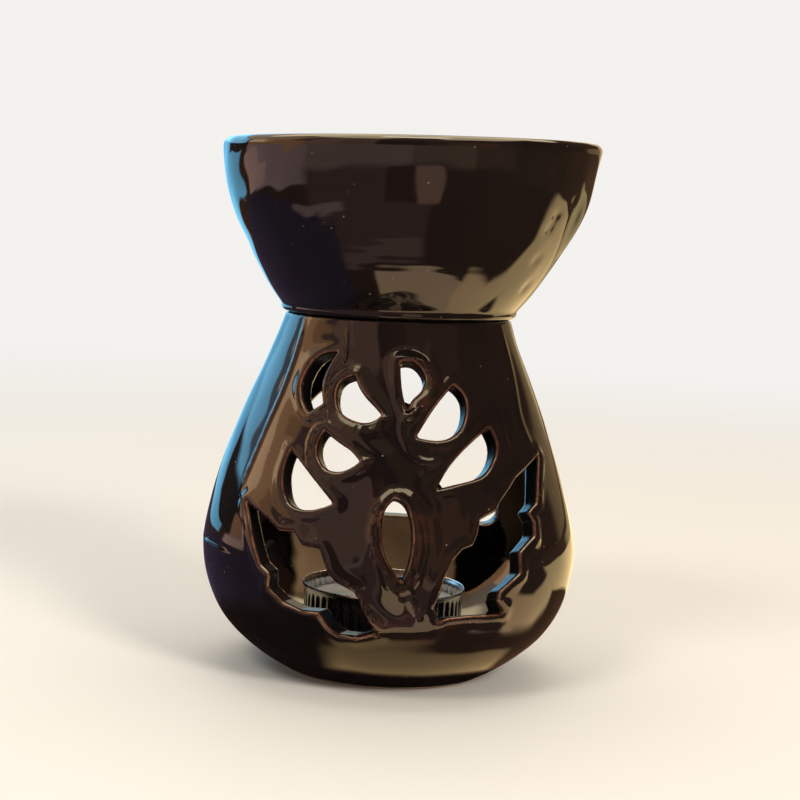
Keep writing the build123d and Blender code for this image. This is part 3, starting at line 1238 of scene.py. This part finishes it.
    def build(self) -> bpy.types.Object:
        """Makes the glazed chamber.

        Returns:
            The piece.
        """
        mesh = bmesh.new()
        mesh.from_mesh(self.rough_mesh())
        keep_largest(mesh)
        move_to(mesh, self.settle(positions(mesh), 2))
        places = positions(mesh)
        turn = np.degrees(np.arctan2(places[:, 0], -places[:, 1]))
        outer = np.hypot(places[:, 0], places[:, 1]) > self.side_at(places[:, 2]) - self.wall / 2
        front = (np.abs(turn) < self.front_turn) & outer & (places[:, 2] > 4 * MM)
        gap = np.abs(self.cut_distance(places))
        self.refine(mesh, front | (gap < self.fine_reach), 4)
        places = positions(mesh)
        gap = np.abs(self.cut_distance(places)) < self.finest_reach
        skin = np.abs(self.shell_distance(places)) < self.finest_reach
        radius = np.hypot(places[:, 0], places[:, 1])
        outer = radius > self.side_at(places[:, 2]) - self.wall / 2
        self.refine(mesh, gap & skin & outer & (places[:, 1] < 0.0), 2)
        places = self.settle(positions(mesh), 2)
        slope = self.gradient(places)
        slope = self.lean.turn(places, slope / np.linalg.norm(slope, axis=1)[:, None])
        move_to(mesh, self.lean.bend(places))
        bmesh.ops.recalc_face_normals(mesh, faces=mesh.faces)
        piece = as_object(mesh, "glazed_chamber")
        piece.data.normals_split_custom_set_from_vertices([tuple(row) for row in slope])
        over = np.maximum(self.shell_distance(places) + self.edge_round, 0.0)
        under = np.maximum(self.edge_round - self.cut_distance(places), 0.0)
        store(piece.data, "turn", np.arctan2(under, np.maximum(over, 1e-9)) / (math.pi / 2))
        store(piece.data, "ridge", self.relief(places) / (0.6 * MM))
        # Share of the painted reflection inside the chamber, read by the glaze as its tan tone.
        store(piece.data, "inner", self.painted_inner_reflection(places))
        return piece


@dataclass
class Opening:
    """A closed outline placed on the wall, with distances to its sides."""

    outline: Array
    origin: Array
    axes: Array
    reach: float
    softness: float
    lip: float
    lip_width: float
    margin: float = 9.0 * MM
    pitch: float = 0.3 * MM

    def __post_init__(self) -> None:
        """Fills the field of distances to the outline."""
        low, high = self.outline.min(axis=0) - self.margin, self.outline.max(axis=0) + self.margin
        self.sides = Field.build(low, high, self.pitch,
                                 lambda points: signed_distance(points, self.outline), self.softness)

    def distance(self, points: Array) -> Array:
        """Distance to the opening's sides.

        Args:
            points: rows of three coordinates.

        Returns:
            One distance per point, negative in the opening and large away from its wall.
        """
        across, up, out = self.axes @ (points - self.origin).T
        low, high = self.sides.low, self.sides.low + self.sides.pitch * np.array(self.sides.values.shape)
        near = np.flatnonzero((np.abs(out) < self.reach) & (across > low[0]) & (across < high[0])
                              & (up > low[1]) & (up < high[1]))
        gap = np.full(len(points), 1.0)
        gap[near] = self.sides.read(across[near], up[near])
        return gap

    def cutter(self) -> bpy.types.Object:
        """Makes a prism that cuts the opening.

        Returns:
            The prism.
        """
        mesh = bmesh.new()
        lines = self.outline[:, :1] * self.axes[0] + self.outline[:, 1:] * self.axes[1] + self.origin
        inner = [mesh.verts.new(place - self.axes[2] * self.reach) for place in lines]
        face = mesh.faces.new(inner)
        grown = bmesh.ops.extrude_face_region(mesh, geom=[face])["geom"]
        corners = [part for part in grown if isinstance(part, bmesh.types.BMVert)]
        bmesh.ops.translate(mesh, verts=corners, vec=Vector(self.axes[2] * self.reach * 2))
        bmesh.ops.recalc_face_normals(mesh, faces=mesh.faces)
        return as_object(mesh, "cutter")


# Dish


@dataclass
class Dish:
    """The round dish on the neck, with a soft lip and a bead of glaze over its seam."""

    neck_radius: float = NECK_RADIUS
    neck_level: float = NECK_LEVEL
    height: float = DISH_HEIGHT
    rim_radius: float = BELLY_RADIUS
    wall: float = 4.0 * MM
    floor_thickness: float = 5.0 * MM
    bulge: float = 5.0 * MM
    neck_bore: float = 21.8 * MM
    bead: float = 0.8 * MM
    bead_width: float = 0.8 * MM
    side_shares: Pairs = (
        (0.0, 0.0), (0.17, 0.09), (0.395, 0.23), (0.632, 0.415), (0.83, 0.6), (0.955, 0.79))
    lining_start_share: float = 0.25
    lining_knots: int = 8
    ring_pitch: float = 1.9 * MM
    ring_height: float = 0.008 * MM
    wobble: Ripple = Ripple(seed=21, wavelength=40 * MM, height=0.15 * MM)
    shimmer: Ripple = Ripple(seed=23, wavelength=8 * MM, height=0.1 * MM)
    dent_radius: float = 1.6 * MM
    dent_depth: float = 0.42 * MM
    dents: Pairs = ((55.3, 14.2), (60.1, 8.0), (53.4, 21.2), (54.3, 24.1), (48.4, 34.0), (62.1, 27.7))
    lean: Lean = Lean()
    steps: int = 240

    def section(self) -> Array:
        """Draws the section of the dish from the axis below, round the lip, to the axis above.

        Returns:
            Rows of radius and height.
        """
        rim_top = self.neck_level + self.height
        swell = self.rim_radius - self.neck_radius
        knots = [(self.neck_radius + out * swell, self.neck_level + up * self.height)
                 for out, up in self.side_shares]
        knots.append((self.rim_radius, rim_top - self.wall / 2))
        side = smooth_curve(knots, 100)
        start = int(self.lining_start_share * len(side))
        kept = np.linspace(start, len(side) - 1, self.lining_knots).astype(int)
        lining = inset_curve(side, self.wall)[kept]
        turns = np.linspace(0.0, math.pi, 17)[1:-1]
        centre = (side[-1] + lining[-1]) / 2
        half = self.wall / 2
        lip = [(centre[0] + half * math.cos(turn), centre[1] + half * math.sin(turn)) for turn in turns]
        bottom = self.neck_level - self.bulge + self.floor_thickness
        mirrored = [(-out, up) for out, up in lining[::-1]]
        inner = smooth_curve([*mirrored, (0.0, bottom), *lining], 121)[60:]
        inner[0, 0] = 0.0
        under = smooth_curve([(0.0, self.neck_level - self.bulge),
                              (self.neck_bore / 2, self.neck_level - self.bulge * 0.75),
                              (self.neck_bore, self.neck_level)], 14)
        seam = [(self.neck_radius - 0.6 * MM, self.neck_level)]
        return np.vstack((under, seam, side, lip, inner[::-1]))

    def build(self) -> bpy.types.Object:
        """Makes the glazed dish.

        Returns:
            The piece.
        """
        mesh = turned(self.section(), self.steps)
        places = positions(mesh)
        radius = np.hypot(places[:, 0], places[:, 1])
        lift = places[:, 2] - self.neck_level
        azimuth = np.degrees(np.arctan2(places[:, 0], -places[:, 1]))
        free = smooth_step(0.5 * MM, 6 * MM, lift)
        out = places * np.array((1.0, 1.0, 0.0)) / np.maximum(radius, 1 * MM)[:, None]
        dimpled = np.maximum(smooth_step(35.0, 65.0, azimuth), 0.6 * smooth_step(25.0, 50.0, -azimuth))
        dimpled = 0.2 + 0.8 * dimpled * smooth_step(4 * MM, 14 * MM, lift)
        dimpled += 0.4 * smooth_step(50.0, 75.0, azimuth) * smooth_step(4 * MM, 10 * MM, lift)
        uneven = (self.wobble.read(places) + self.shimmer.read(places) * dimpled) * free
        ringed = smooth_step(-40.0, -20.0, azimuth) * smooth_step(-40.0, -25.0, -azimuth)
        ringed = ringed * smooth_step(8 * MM, 12 * MM, lift)
        ringed = ringed * smooth_step(14 * MM, 20 * MM, self.height - lift)
        rings = np.sin(places[:, 2] * 2 * math.pi / self.ring_pitch) * self.ring_height * ringed
        bead = self.bead * np.exp(-((lift - 0.5 * MM) / self.bead_width) ** 2) * (radius > self.neck_bore)
        dented = np.zeros(len(places))
        for turn, rise in self.dents:
            across = np.radians(azimuth - turn) * radius
            gap = np.hypot(across, lift - rise * MM) / self.dent_radius
            dented -= self.dent_depth * np.exp(-gap**2) * (radius > self.neck_radius)
        move_to(mesh, self.lean.bend(places + out * (uneven + rings + bead + dented)[:, None]))
        piece = as_object(mesh, "glazed_dish")
        store(piece.data, "turn", np.zeros(len(places)))
        store(piece.data, "inner", np.zeros(len(places)))
        store(piece.data, "ridge", smooth_step(self.height - 1.2 * MM, self.height - 0.1 * MM, lift))
        return piece


# Tea light


@dataclass
class TeaLight:
    """A standard tea light: pressed foil cup, wax, wick and the disc that holds it."""

    flutes: int = 52
    flute_depth: float = 0.16 * MM
    bead: float = 0.45 * MM
    foil: float = 0.25 * MM
    cup_inset: float = 0.55 * MM
    wax_inset: float = 0.35 * MM
    wick_hole: float = 0.75 * MM
    wick_radius: float = 0.72 * MM
    wick_rings: int = 64
    wick_sides: int = 24
    plait_turns: float = 34.0

    def __post_init__(self) -> None:
        """Reads the tea light's place from the frame."""
        self.cup_low, self.cup_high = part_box("tealight_cup")
        self.wax_low, self.wax_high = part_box("tealight_wax")
        self.wick_low, self.wick_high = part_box("wick")

    def cup(self) -> bpy.types.Object:
        """Makes the fluted foil cup with its rolled rim and pressed floor.

        Returns:
            The piece.
        """
        base, top = self.cup_low.z, self.cup_high.z
        side = self.cup_high.x - self.cup_inset
        turns = np.linspace(-math.pi / 2, math.pi, 12)
        roll = [(side + self.foil / 2 + self.bead * (0.5 + 0.5 * math.cos(turn)) - 0.1 * MM,
                 top - self.bead + self.bead * math.sin(turn)) for turn in turns]
        outside = [(0.0, base + 0.5 * MM), (7.5 * MM, base + 0.5 * MM), (8.2 * MM, base + 0.1 * MM),
                   (side - 2.2 * MM, base), (side - 1.0 * MM, base + 0.15 * MM),
                   (side - 0.35 * MM, base + 0.8 * MM)]
        rise = [(side - 0.15 * MM, base + share * (top - base)) for share in np.linspace(0.1, 0.9, 14)]
        inner = side - self.foil - 0.1 * MM
        inside = [(inner, base + share * (top - base)) for share in np.linspace(0.95, 0.1, 12)]
        floor = [(side - 1.2 * MM, base + 0.4 * MM), (8.4 * MM, base + 0.35 * MM),
                 (7.4 * MM, base + 0.75 * MM), (0.0, base + 0.75 * MM)]
        mesh = turned(np.array(outside + rise + roll + inside + floor), self.flutes * 6)
        places = positions(mesh)
        radius = np.hypot(places[:, 0], places[:, 1])
        share = (places[:, 2] - base) / (top - base)
        band = smooth_step(0.06, 0.16, share) * smooth_step(0.1, 0.2, 1 - share)
        wave = np.cos(np.arctan2(places[:, 1], places[:, 0]) * self.flutes)
        places[:, :2] *= (1 + band * self.flute_depth * wave / np.maximum(radius, 1 * MM))[:, None]
        move_to(mesh, places)
        return as_object(mesh, "fluted_cup")

    def wax(self) -> bpy.types.Object:
        """Makes the wax fill, with a shallow hollow and a rise round the wick.

        Returns:
            The piece.
        """
        base, top = self.wax_low.z + 0.5 * MM, self.wax_high.z
        rim = self.wax_high.x - self.wax_inset
        wick = self.wick_hole
        surface = [(wick, 0.0), (1.4 * MM, -0.25 * MM), (3.5 * MM, -0.45 * MM), (9 * MM, -0.35 * MM),
                   (rim - 2.5 * MM, -0.15 * MM), (rim - 0.8 * MM, 0.0)]
        upper = [(out, top + lift) for out, lift in smooth_curve(surface, 26)]
        edge = [(rim - 0.3 * MM, top - 0.1 * MM), (rim, top - 0.5 * MM)]
        lower = [(rim, base + 0.6 * MM), (rim - 0.4 * MM, base), (wick, base)]
        return as_object(turned(np.array(upper + edge + lower), 144), "poured_wax")

    def wick(self) -> bpy.types.Object:
        """Makes the plaited wick, leaning a little and frayed at its tip.

        Returns:
            The piece.
        """
        low, high = self.wick_low.z, self.wick_high.z
        mesh = bmesh.new()
        ring = bmesh.ops.create_circle(mesh, cap_ends=True, segments=self.wick_sides,
                                       radius=self.wick_radius,
                                       matrix=Matrix.Translation((0, 0, low)))["verts"]
        face = ring[0].link_faces[0]
        for _ in range(self.wick_rings):
            face = bmesh.ops.extrude_discrete_faces(mesh, faces=[face])["faces"][0]
            bmesh.ops.translate(mesh, verts=face.verts, vec=(0, 0, (high - low) / self.wick_rings))
        bmesh.ops.remove_doubles(mesh, verts=mesh.verts, dist=1e-6)
        base = [edge for edge in mesh.edges if edge.is_boundary]
        bmesh.ops.holes_fill(mesh, edges=base, sides=self.wick_sides)
        places = positions(mesh)
        share = (places[:, 2] - low) / (high - low)
        turn = np.arctan2(places[:, 1], places[:, 0])
        climb = share * self.plait_turns
        plait = np.abs(np.sin(1.5 * turn + climb)) * 0.5 + np.abs(np.sin(1.5 * turn - climb)) * 0.5
        tip = smooth_step(0.9, 1.0, share)
        scale = (0.82 + 0.26 * plait) * (1 - 0.35 * tip)
        places[:, :2] *= scale[:, None]
        lean = np.maximum(share - 0.6, 0.0)
        places[:, 0] += lean**2 * 5 * MM
        places[:, 2] -= lean**2 * 1.2 * MM + tip * 0.3 * MM * np.abs(np.sin(turn * 2.5))
        move_to(mesh, places)
        bmesh.ops.recalc_face_normals(mesh, faces=mesh.faces)
        return as_object(mesh, "plaited_wick")


# Studio


@dataclass(frozen=True)
class Softbox:
    """One soft rectangular lamp, aimed at the burner."""

    name: str
    place: Colour
    size: tuple[float, float]
    power: float
    colour: Colour
    aim: Colour = (0.0, 0.0, 0.06)

    def build(self) -> None:
        """Adds the lamp to the scene, not mirrored in the glaze."""
        lamp = bpy.data.lights.new(self.name, "AREA")
        lamp.shape = "RECTANGLE"
        lamp.size, lamp.size_y = self.size
        lamp.energy = self.power
        lamp.color = self.colour
        holder = bpy.data.objects.new(self.name, lamp)
        holder.location = self.place
        ahead = Vector(self.aim) - Vector(self.place)
        holder.rotation_euler = ahead.to_track_quat("-Z", "Y").to_euler()
        holder.visible_glossy = False
        bpy.context.scene.collection.objects.link(holder)


LAMPS = (
    Softbox("key", (0.72, -1.03, 0.75), (0.35, 0.35), 13.5, (1.0, 0.95, 0.88)),
    Softbox("second", (-0.60, -0.92, 1.1), (0.4, 0.4), 6.5, (1.0, 0.97, 0.93)),
    Softbox("fill", (0.0, 0.3, 1.7), (1.2, 1.2), 9.0, (1.0, 0.98, 0.95)),
)


@dataclass(frozen=True)
class Patch:
    """A soft-edged patch of the surroundings, seen only in glossy surfaces.

    It runs between two azimuths in degrees and two reaches: elevation in degrees for the surround, and
    distance from the axis in millimetres for the floor, along a heading where one is given.
    """

    colour: Colour
    turn: tuple[float, float]
    reach: tuple[float, float]
    softness: tuple[float, float]
    heading: float | None = None

    def share(self, turn: Value, reach: Value) -> Value:
        """Works out where the patch is.

        Args:
            turn: azimuth in degrees.
            reach: elevation in degrees, or distance in millimetres.

        Returns:
            1 inside the patch and 0 outside it.
        """
        total = None
        if self.heading is not None:
            reach = reach * (turn - self.heading).cosine()
        for value, (low, high), soft in ((turn, self.turn, self.softness[0]),
                                         (reach, self.reach, self.softness[1])):
            half = soft / 2
            rise, fall = value.ramp(low - half, low + half), value.ramp(high - half, high + half)
            for edge in (rise, 1.0 - fall):
                total = edge if total is None else total * edge
        return total


def painted(nodes: Nodes, patches: Sequence[Patch], turn: Value, reach: Value) -> Value:
    """Paints patches over each other.

    Args:
        nodes: the builder of the nodes.
        patches: the patches, from the one that covers everything to the topmost.
        turn: azimuth in degrees.
        reach: what the patches' reaches are measured in.

    Returns:
        The colour in each direction or at each place.
    """
    colour: object = patches[0].colour
    for patch in patches[1:]:
        colour = nodes.mix(patch.share(turn, reach), colour, patch.colour)
    return colour


# Painted reflection of a room, seen by glossy rays only: windows, walls and bright ceiling as patches,
# painted highlights included.
SURROUND = (
    Patch((0.11, 0.045, 0.025), (-200, 200), (-5, 90), (1, 1)),
    Patch((0.45, 0.30, 0.14), (128, 200), (-3, 11), (12, 5)),
    Patch((0.85, 0.62, 0.32), (157, 200), (-5, 12), (5, 6)),
    Patch((0.19, 0.08, 0.045), (8, 66), (-5, 90), (4, 2)),
    Patch((0.37, 0.16, 0.08), (24, 50), (-5, 24), (4, 4)),
    Patch((0.10, 0.035, 0.025), (-23, 6), (-5, 90), (3, 2)),
    Patch((0.58, 0.31, 0.22), (-47, -22), (-5, 90), (3, 2)),
    Patch((0.80, 0.44, 0.31), (-68, -47), (-5, 90), (3, 2)),
    Patch((0.34, 0.18, 0.15), (-82, -68), (20, 90), (3, 4)),
    Patch((1.25, 0.62, 0.27), (-84, -68), (-5, 20), (4, 4)),
    Patch((1.25, 0.62, 0.28), (-92, -81), (-5, 90), (4, 2)),
    Patch((1.80, 0.92, 0.44), (-103, -91), (6, 90), (3, 4)),
    Patch((1.00, 0.50, 0.25), (-114, -91), (-5, 7), (3, 3)),
    Patch((3.10, 1.90, 1.05), (-114, -102), (8, 90), (2, 4)),
    Patch((0.30, 0.40, 0.52), (-122, -114), (7, 90), (2, 4)),
    Patch((0.05, 0.035, 0.035), (-200, -114), (-5, 7), (3, 2)),
    Patch((0.32, 0.95, 1.50), (-200, -143), (-5, 7), (3, 2)),
    Patch((0.68, 1.78, 2.70), (-200, -121), (6.5, 25), (2, 3)),
    Patch((1.20, 0.88, 0.62), (-200, -100), (26, 90), (4, 3)),
    Patch((1.00, 0.66, 0.38), (-112, -30), (50, 90), (10, 6)),
    Patch((4.20, 3.30, 2.00), (-200, 200), (58, 90), (1, 5)),
    Patch((0.30, 0.17, 0.10), (-26, 28), (40, 76), (8, 6)),
    Patch((11.0, 9.5, 7.0), (-200, 200), (79, 90), (1, 4)),
    Patch((4.40, 3.50, 2.20), (-200, -126), (42, 90), (6, 8)),
    Patch((4.40, 3.50, 2.20), (126, 200), (42, 90), (6, 8)),
    Patch((1.40, 1.10, 0.70), (166, 200), (12, 46), (6, 8)),
    Patch((0.80, 0.90, 0.85), (174, 200), (-5, 45), (10, 14)),
    Patch((0.80, 0.90, 0.85), (-200, -174), (-5, 45), (10, 14)),
)

# Painted reflection of the table, seen by glossy rays only, with painted shadow: the dark patches to the
# left, round the foot and under it stand for the burner's shadow and contact shade.
UNDERFOOT = (
    Patch((0.11, 0.05, 0.03), (-200, 200), (0, 9000), (1, 1)),
    Patch((0.27, 0.13, 0.12), (-64, 16), (92, 9000), (8, 10)),
    Patch((0.62, 0.40, 0.33), (-112, 2), (600, 9000), (6, 240)),
    Patch((0.45, 0.28, 0.18), (2, 38), (600, 9000), (4, 240)),
    Patch((0.28, 0.15, 0.08), (38, 62), (600, 9000), (6, 240)),
    Patch((0.90, 0.58, 0.56), (-114, -64), (345, 9000), (5, 30)),
    Patch((0.76, 0.48, 0.47), (-76, -40), (166, 204), (6, 10)),
    Patch((0.08, 0.055, 0.10), (-200, -103), (0, 385), (10, 20)),
    Patch((0.08, 0.055, 0.10), (-200, -88), (0, 300), (10, 20)),
    Patch((0.08, 0.055, 0.10), (-200, -74), (0, 235), (8, 14)),
    Patch((0.08, 0.055, 0.10), (-200, -58), (0, 178), (8, 10)),
    Patch((0.08, 0.055, 0.10), (-200, -48), (0, 145), (6, 8)),
    Patch((0.44, 0.26, 0.22), (-46, 14), (94, 112), (8, 6)),
    Patch((0.12, 0.03, 0.03), (-14, 3), (200, 560), (2, 20)),
    Patch((0.85, 0.48, 0.33), (4, 22), (200, 560), (2, 20)),
    Patch((1.30, 0.80, 0.66), (-117, -97), (400, 1500), (4, 50)),
    Patch((0.38, 1.10, 1.65), (-200, -126), (520, 9000), (3, 60)),
    Patch((1.80, 1.18, 0.69), (-21, 66), (54, 84), (4, 4)),
    Patch((2.30, 1.50, 0.74), (60, 92), (55, 100), (8, 14)),
    Patch((2.20, 1.50, 0.72), (84, 200), (-9000, 66.6), (6, 10), 33.7),
    Patch((0.12, 0.06, 0.03), (60, 200), (-9000, 36), (8, 8), 33.7),
    Patch((2.00, 1.40, 0.65), (104, 200), (107, 400), (6, 12)),
    Patch((0.15, 0.075, 0.04), (60, 200), (380, 9000), (8, 40)),
    Patch((0.75, 0.56, 0.26), (138, 200), (380, 1000), (6, 60)),
    Patch((0.12, 0.05, 0.03), (-60, 58), (40, 55), (6, 3)),
    Patch((0.02, 0.012, 0.010), (-200, -28), (0, 62), (8, 24)),
    Patch((0.95, 0.62, 0.28), (-24, 68), (29, 41), (14, 3)),
    Patch((0.30, 0.26, 0.20), (172, 200), (-10, 9000), (14, 10)),
    Patch((0.30, 0.26, 0.20), (-200, -172), (-10, 9000), (14, 10)),
    Patch((0.01, 0.006, 0.005), (-200, 200), (-1, 28.5), (1, 3)),
)


@dataclass
class Studio:
    """Pale floor, soft light and the camera at the photograph's angle."""

    camera_distance: float = 0.460
    camera_height: float = 0.110
    camera_pitch: float = 0.09924
    camera_roll: float = 0.055
    camera_yaw: float = 0.001
    camera_shift: float = 0.0010
    focal_pixels: float = 1949.5
    image_pixels: float = 800.0
    sensor: float = 36.0
    floor_size: float = 12.0
    floor_colour: Colour = (0.80, 0.755, 0.68)
    floor_cloud: Colour = (0.76, 0.71, 0.63)
    background: Colour = (0.90, 0.885, 0.86)
    daylight: float = 0.5
    fade_start: float = 0.1
    fade_end: float = 1.0

    def camera(self) -> None:
        """Adds the camera."""
        data = bpy.data.cameras.new("camera")
        data.sensor_width = self.sensor
        data.lens = self.sensor * self.focal_pixels / self.image_pixels
        data.clip_start = 0.01
        data.clip_end = 20.0
        holder = bpy.data.objects.new("camera", data)
        yaw = Matrix.Rotation(-self.camera_yaw, 4, "Z")
        pitch = Matrix.Rotation(math.pi / 2 - self.camera_pitch, 4, "X")
        roll = Matrix.Rotation(self.camera_roll, 4, "Z")
        place = Matrix.Translation((self.camera_shift, -self.camera_distance, self.camera_height))
        holder.matrix_world = place @ (yaw @ pitch @ roll)
        bpy.context.scene.collection.objects.link(holder)
        bpy.context.scene.camera = holder

    def floor(self) -> None:
        """Adds the plain pale floor, which fades into the background and is mirrored in patches."""
        mesh = bmesh.new()
        bmesh.ops.create_grid(mesh, x_segments=1, y_segments=1, size=self.floor_size / 2)
        floor = as_object(mesh, "floor")
        material, nodes = new_material("pale_floor")
        place = nodes.place()
        across, along, _ = nodes.split(place)
        reach = nodes.node("ShaderNodeVectorMath", {"operation": "LENGTH"}, place, out=1)
        grain = nodes.noise(place, 3.0, 2.0)
        colour = nodes.mix(grain * 0.2, self.floor_colour, self.floor_cloud)
        lit = nodes.principled(Base_Color=colour, Roughness=0.6, Specular_IOR_Level=0.2)
        far = nodes.node("ShaderNodeEmission", {}, self.background, 1.0)
        # Painted reflection of the floor, painted shadow included, for glossy rays only.
        mirrored = painted(nodes, UNDERFOOT, nodes.azimuth(across, along), reach * (1 / MM))
        shine = nodes.node("ShaderNodeEmission", {}, mirrored, 1.0)
        camera = nodes.node("ShaderNodeLightPath", {}, out=0)
        glossy = nodes.node("ShaderNodeLightPath", {}, out=3)
        faded = nodes.either(reach.ramp(self.fade_start, self.fade_end) * camera, lit, far)
        nodes.finish(nodes.either(glossy, faded, shine))
        material.cycles.emission_sampling = "NONE"
        floor.data.materials.append(material)

    def world(self) -> None:
        """A pale surround that lights gently and is mirrored in patches."""
        world = bpy.data.worlds.new("surround")
        world.use_nodes = True
        nodes = Nodes(world.node_tree, "ShaderNodeOutputWorld")
        across, along, up = nodes.split(nodes.node("ShaderNodeTexCoord", {}, out=0))
        height = nodes.node("ShaderNodeMath", {"operation": "ARCSINE"}, up) * math.degrees(1.0)
        # Painted reflection of the room, for glossy rays only.
        mirrored = painted(nodes, SURROUND, nodes.azimuth(across, along), height)
        camera = nodes.node("ShaderNodeLightPath", {}, out=0)
        glossy = nodes.node("ShaderNodeLightPath", {}, out=3)
        seen = nodes.node("ShaderNodeBackground", {}, self.background, 1.0)
        light = nodes.node("ShaderNodeBackground", {}, self.background, self.daylight)
        shine = nodes.node("ShaderNodeBackground", {}, mirrored, 1.0)
        nodes.finish(nodes.either(glossy, nodes.either(camera, light, seen), shine))
        bpy.context.scene.world = world

    def build(self) -> None:
        """Sets the whole studio up."""
        self.camera()
        self.floor()
        self.world()
        for lamp in LAMPS:
            lamp.build()
        bpy.context.scene.view_settings.view_transform = "Standard"


# Assembly


class Body(Enum):
    """The bodies that pieces ride on."""

    POT = "root"
    TEA_LIGHT = "tealight"


def dress(piece: bpy.types.Object, material: bpy.types.Material, body: Body, slot: str,
          *nodes: str) -> None:
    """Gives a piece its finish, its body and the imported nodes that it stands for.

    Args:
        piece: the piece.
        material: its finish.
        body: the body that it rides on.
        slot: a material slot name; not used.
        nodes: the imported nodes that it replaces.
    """
    piece.data.materials.append(material)
    piece.cycles.shadow_terminator_offset = SHADOW_OFFSET
    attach(piece, body.value)
    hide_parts(*nodes)
    LOG.info("%s: %d faces, on %s, for %s", piece.name, len(piece.data.polygons), body.value, nodes)


def main() -> None:
    """Builds the burner and its studio."""
    logging.basicConfig(level=logging.INFO)
    Studio().build()
    glaze = Glaze().material()
    dress(Chamber().build(), glaze, Body.POT, "glaze", "burner_body")
    dress(Dish().build(), glaze, Body.POT, "glaze", "oil_bowl")
    tea_light = TeaLight()
    dress(tea_light.cup(), Foil().material(), Body.TEA_LIGHT, "cup_foil", "tealight_cup")
    dress(tea_light.wax(), Wax().material(), Body.TEA_LIGHT, "wax", "tealight_wax")
    dress(tea_light.wick(), Cotton().material(), Body.TEA_LIGHT, "wick", "wick")
    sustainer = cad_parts["wick_sustainer"]
    sustainer.data.materials.clear()
    sustainer.data.materials.append(Tinplate().material())


if __name__ == "__main__":
    main()
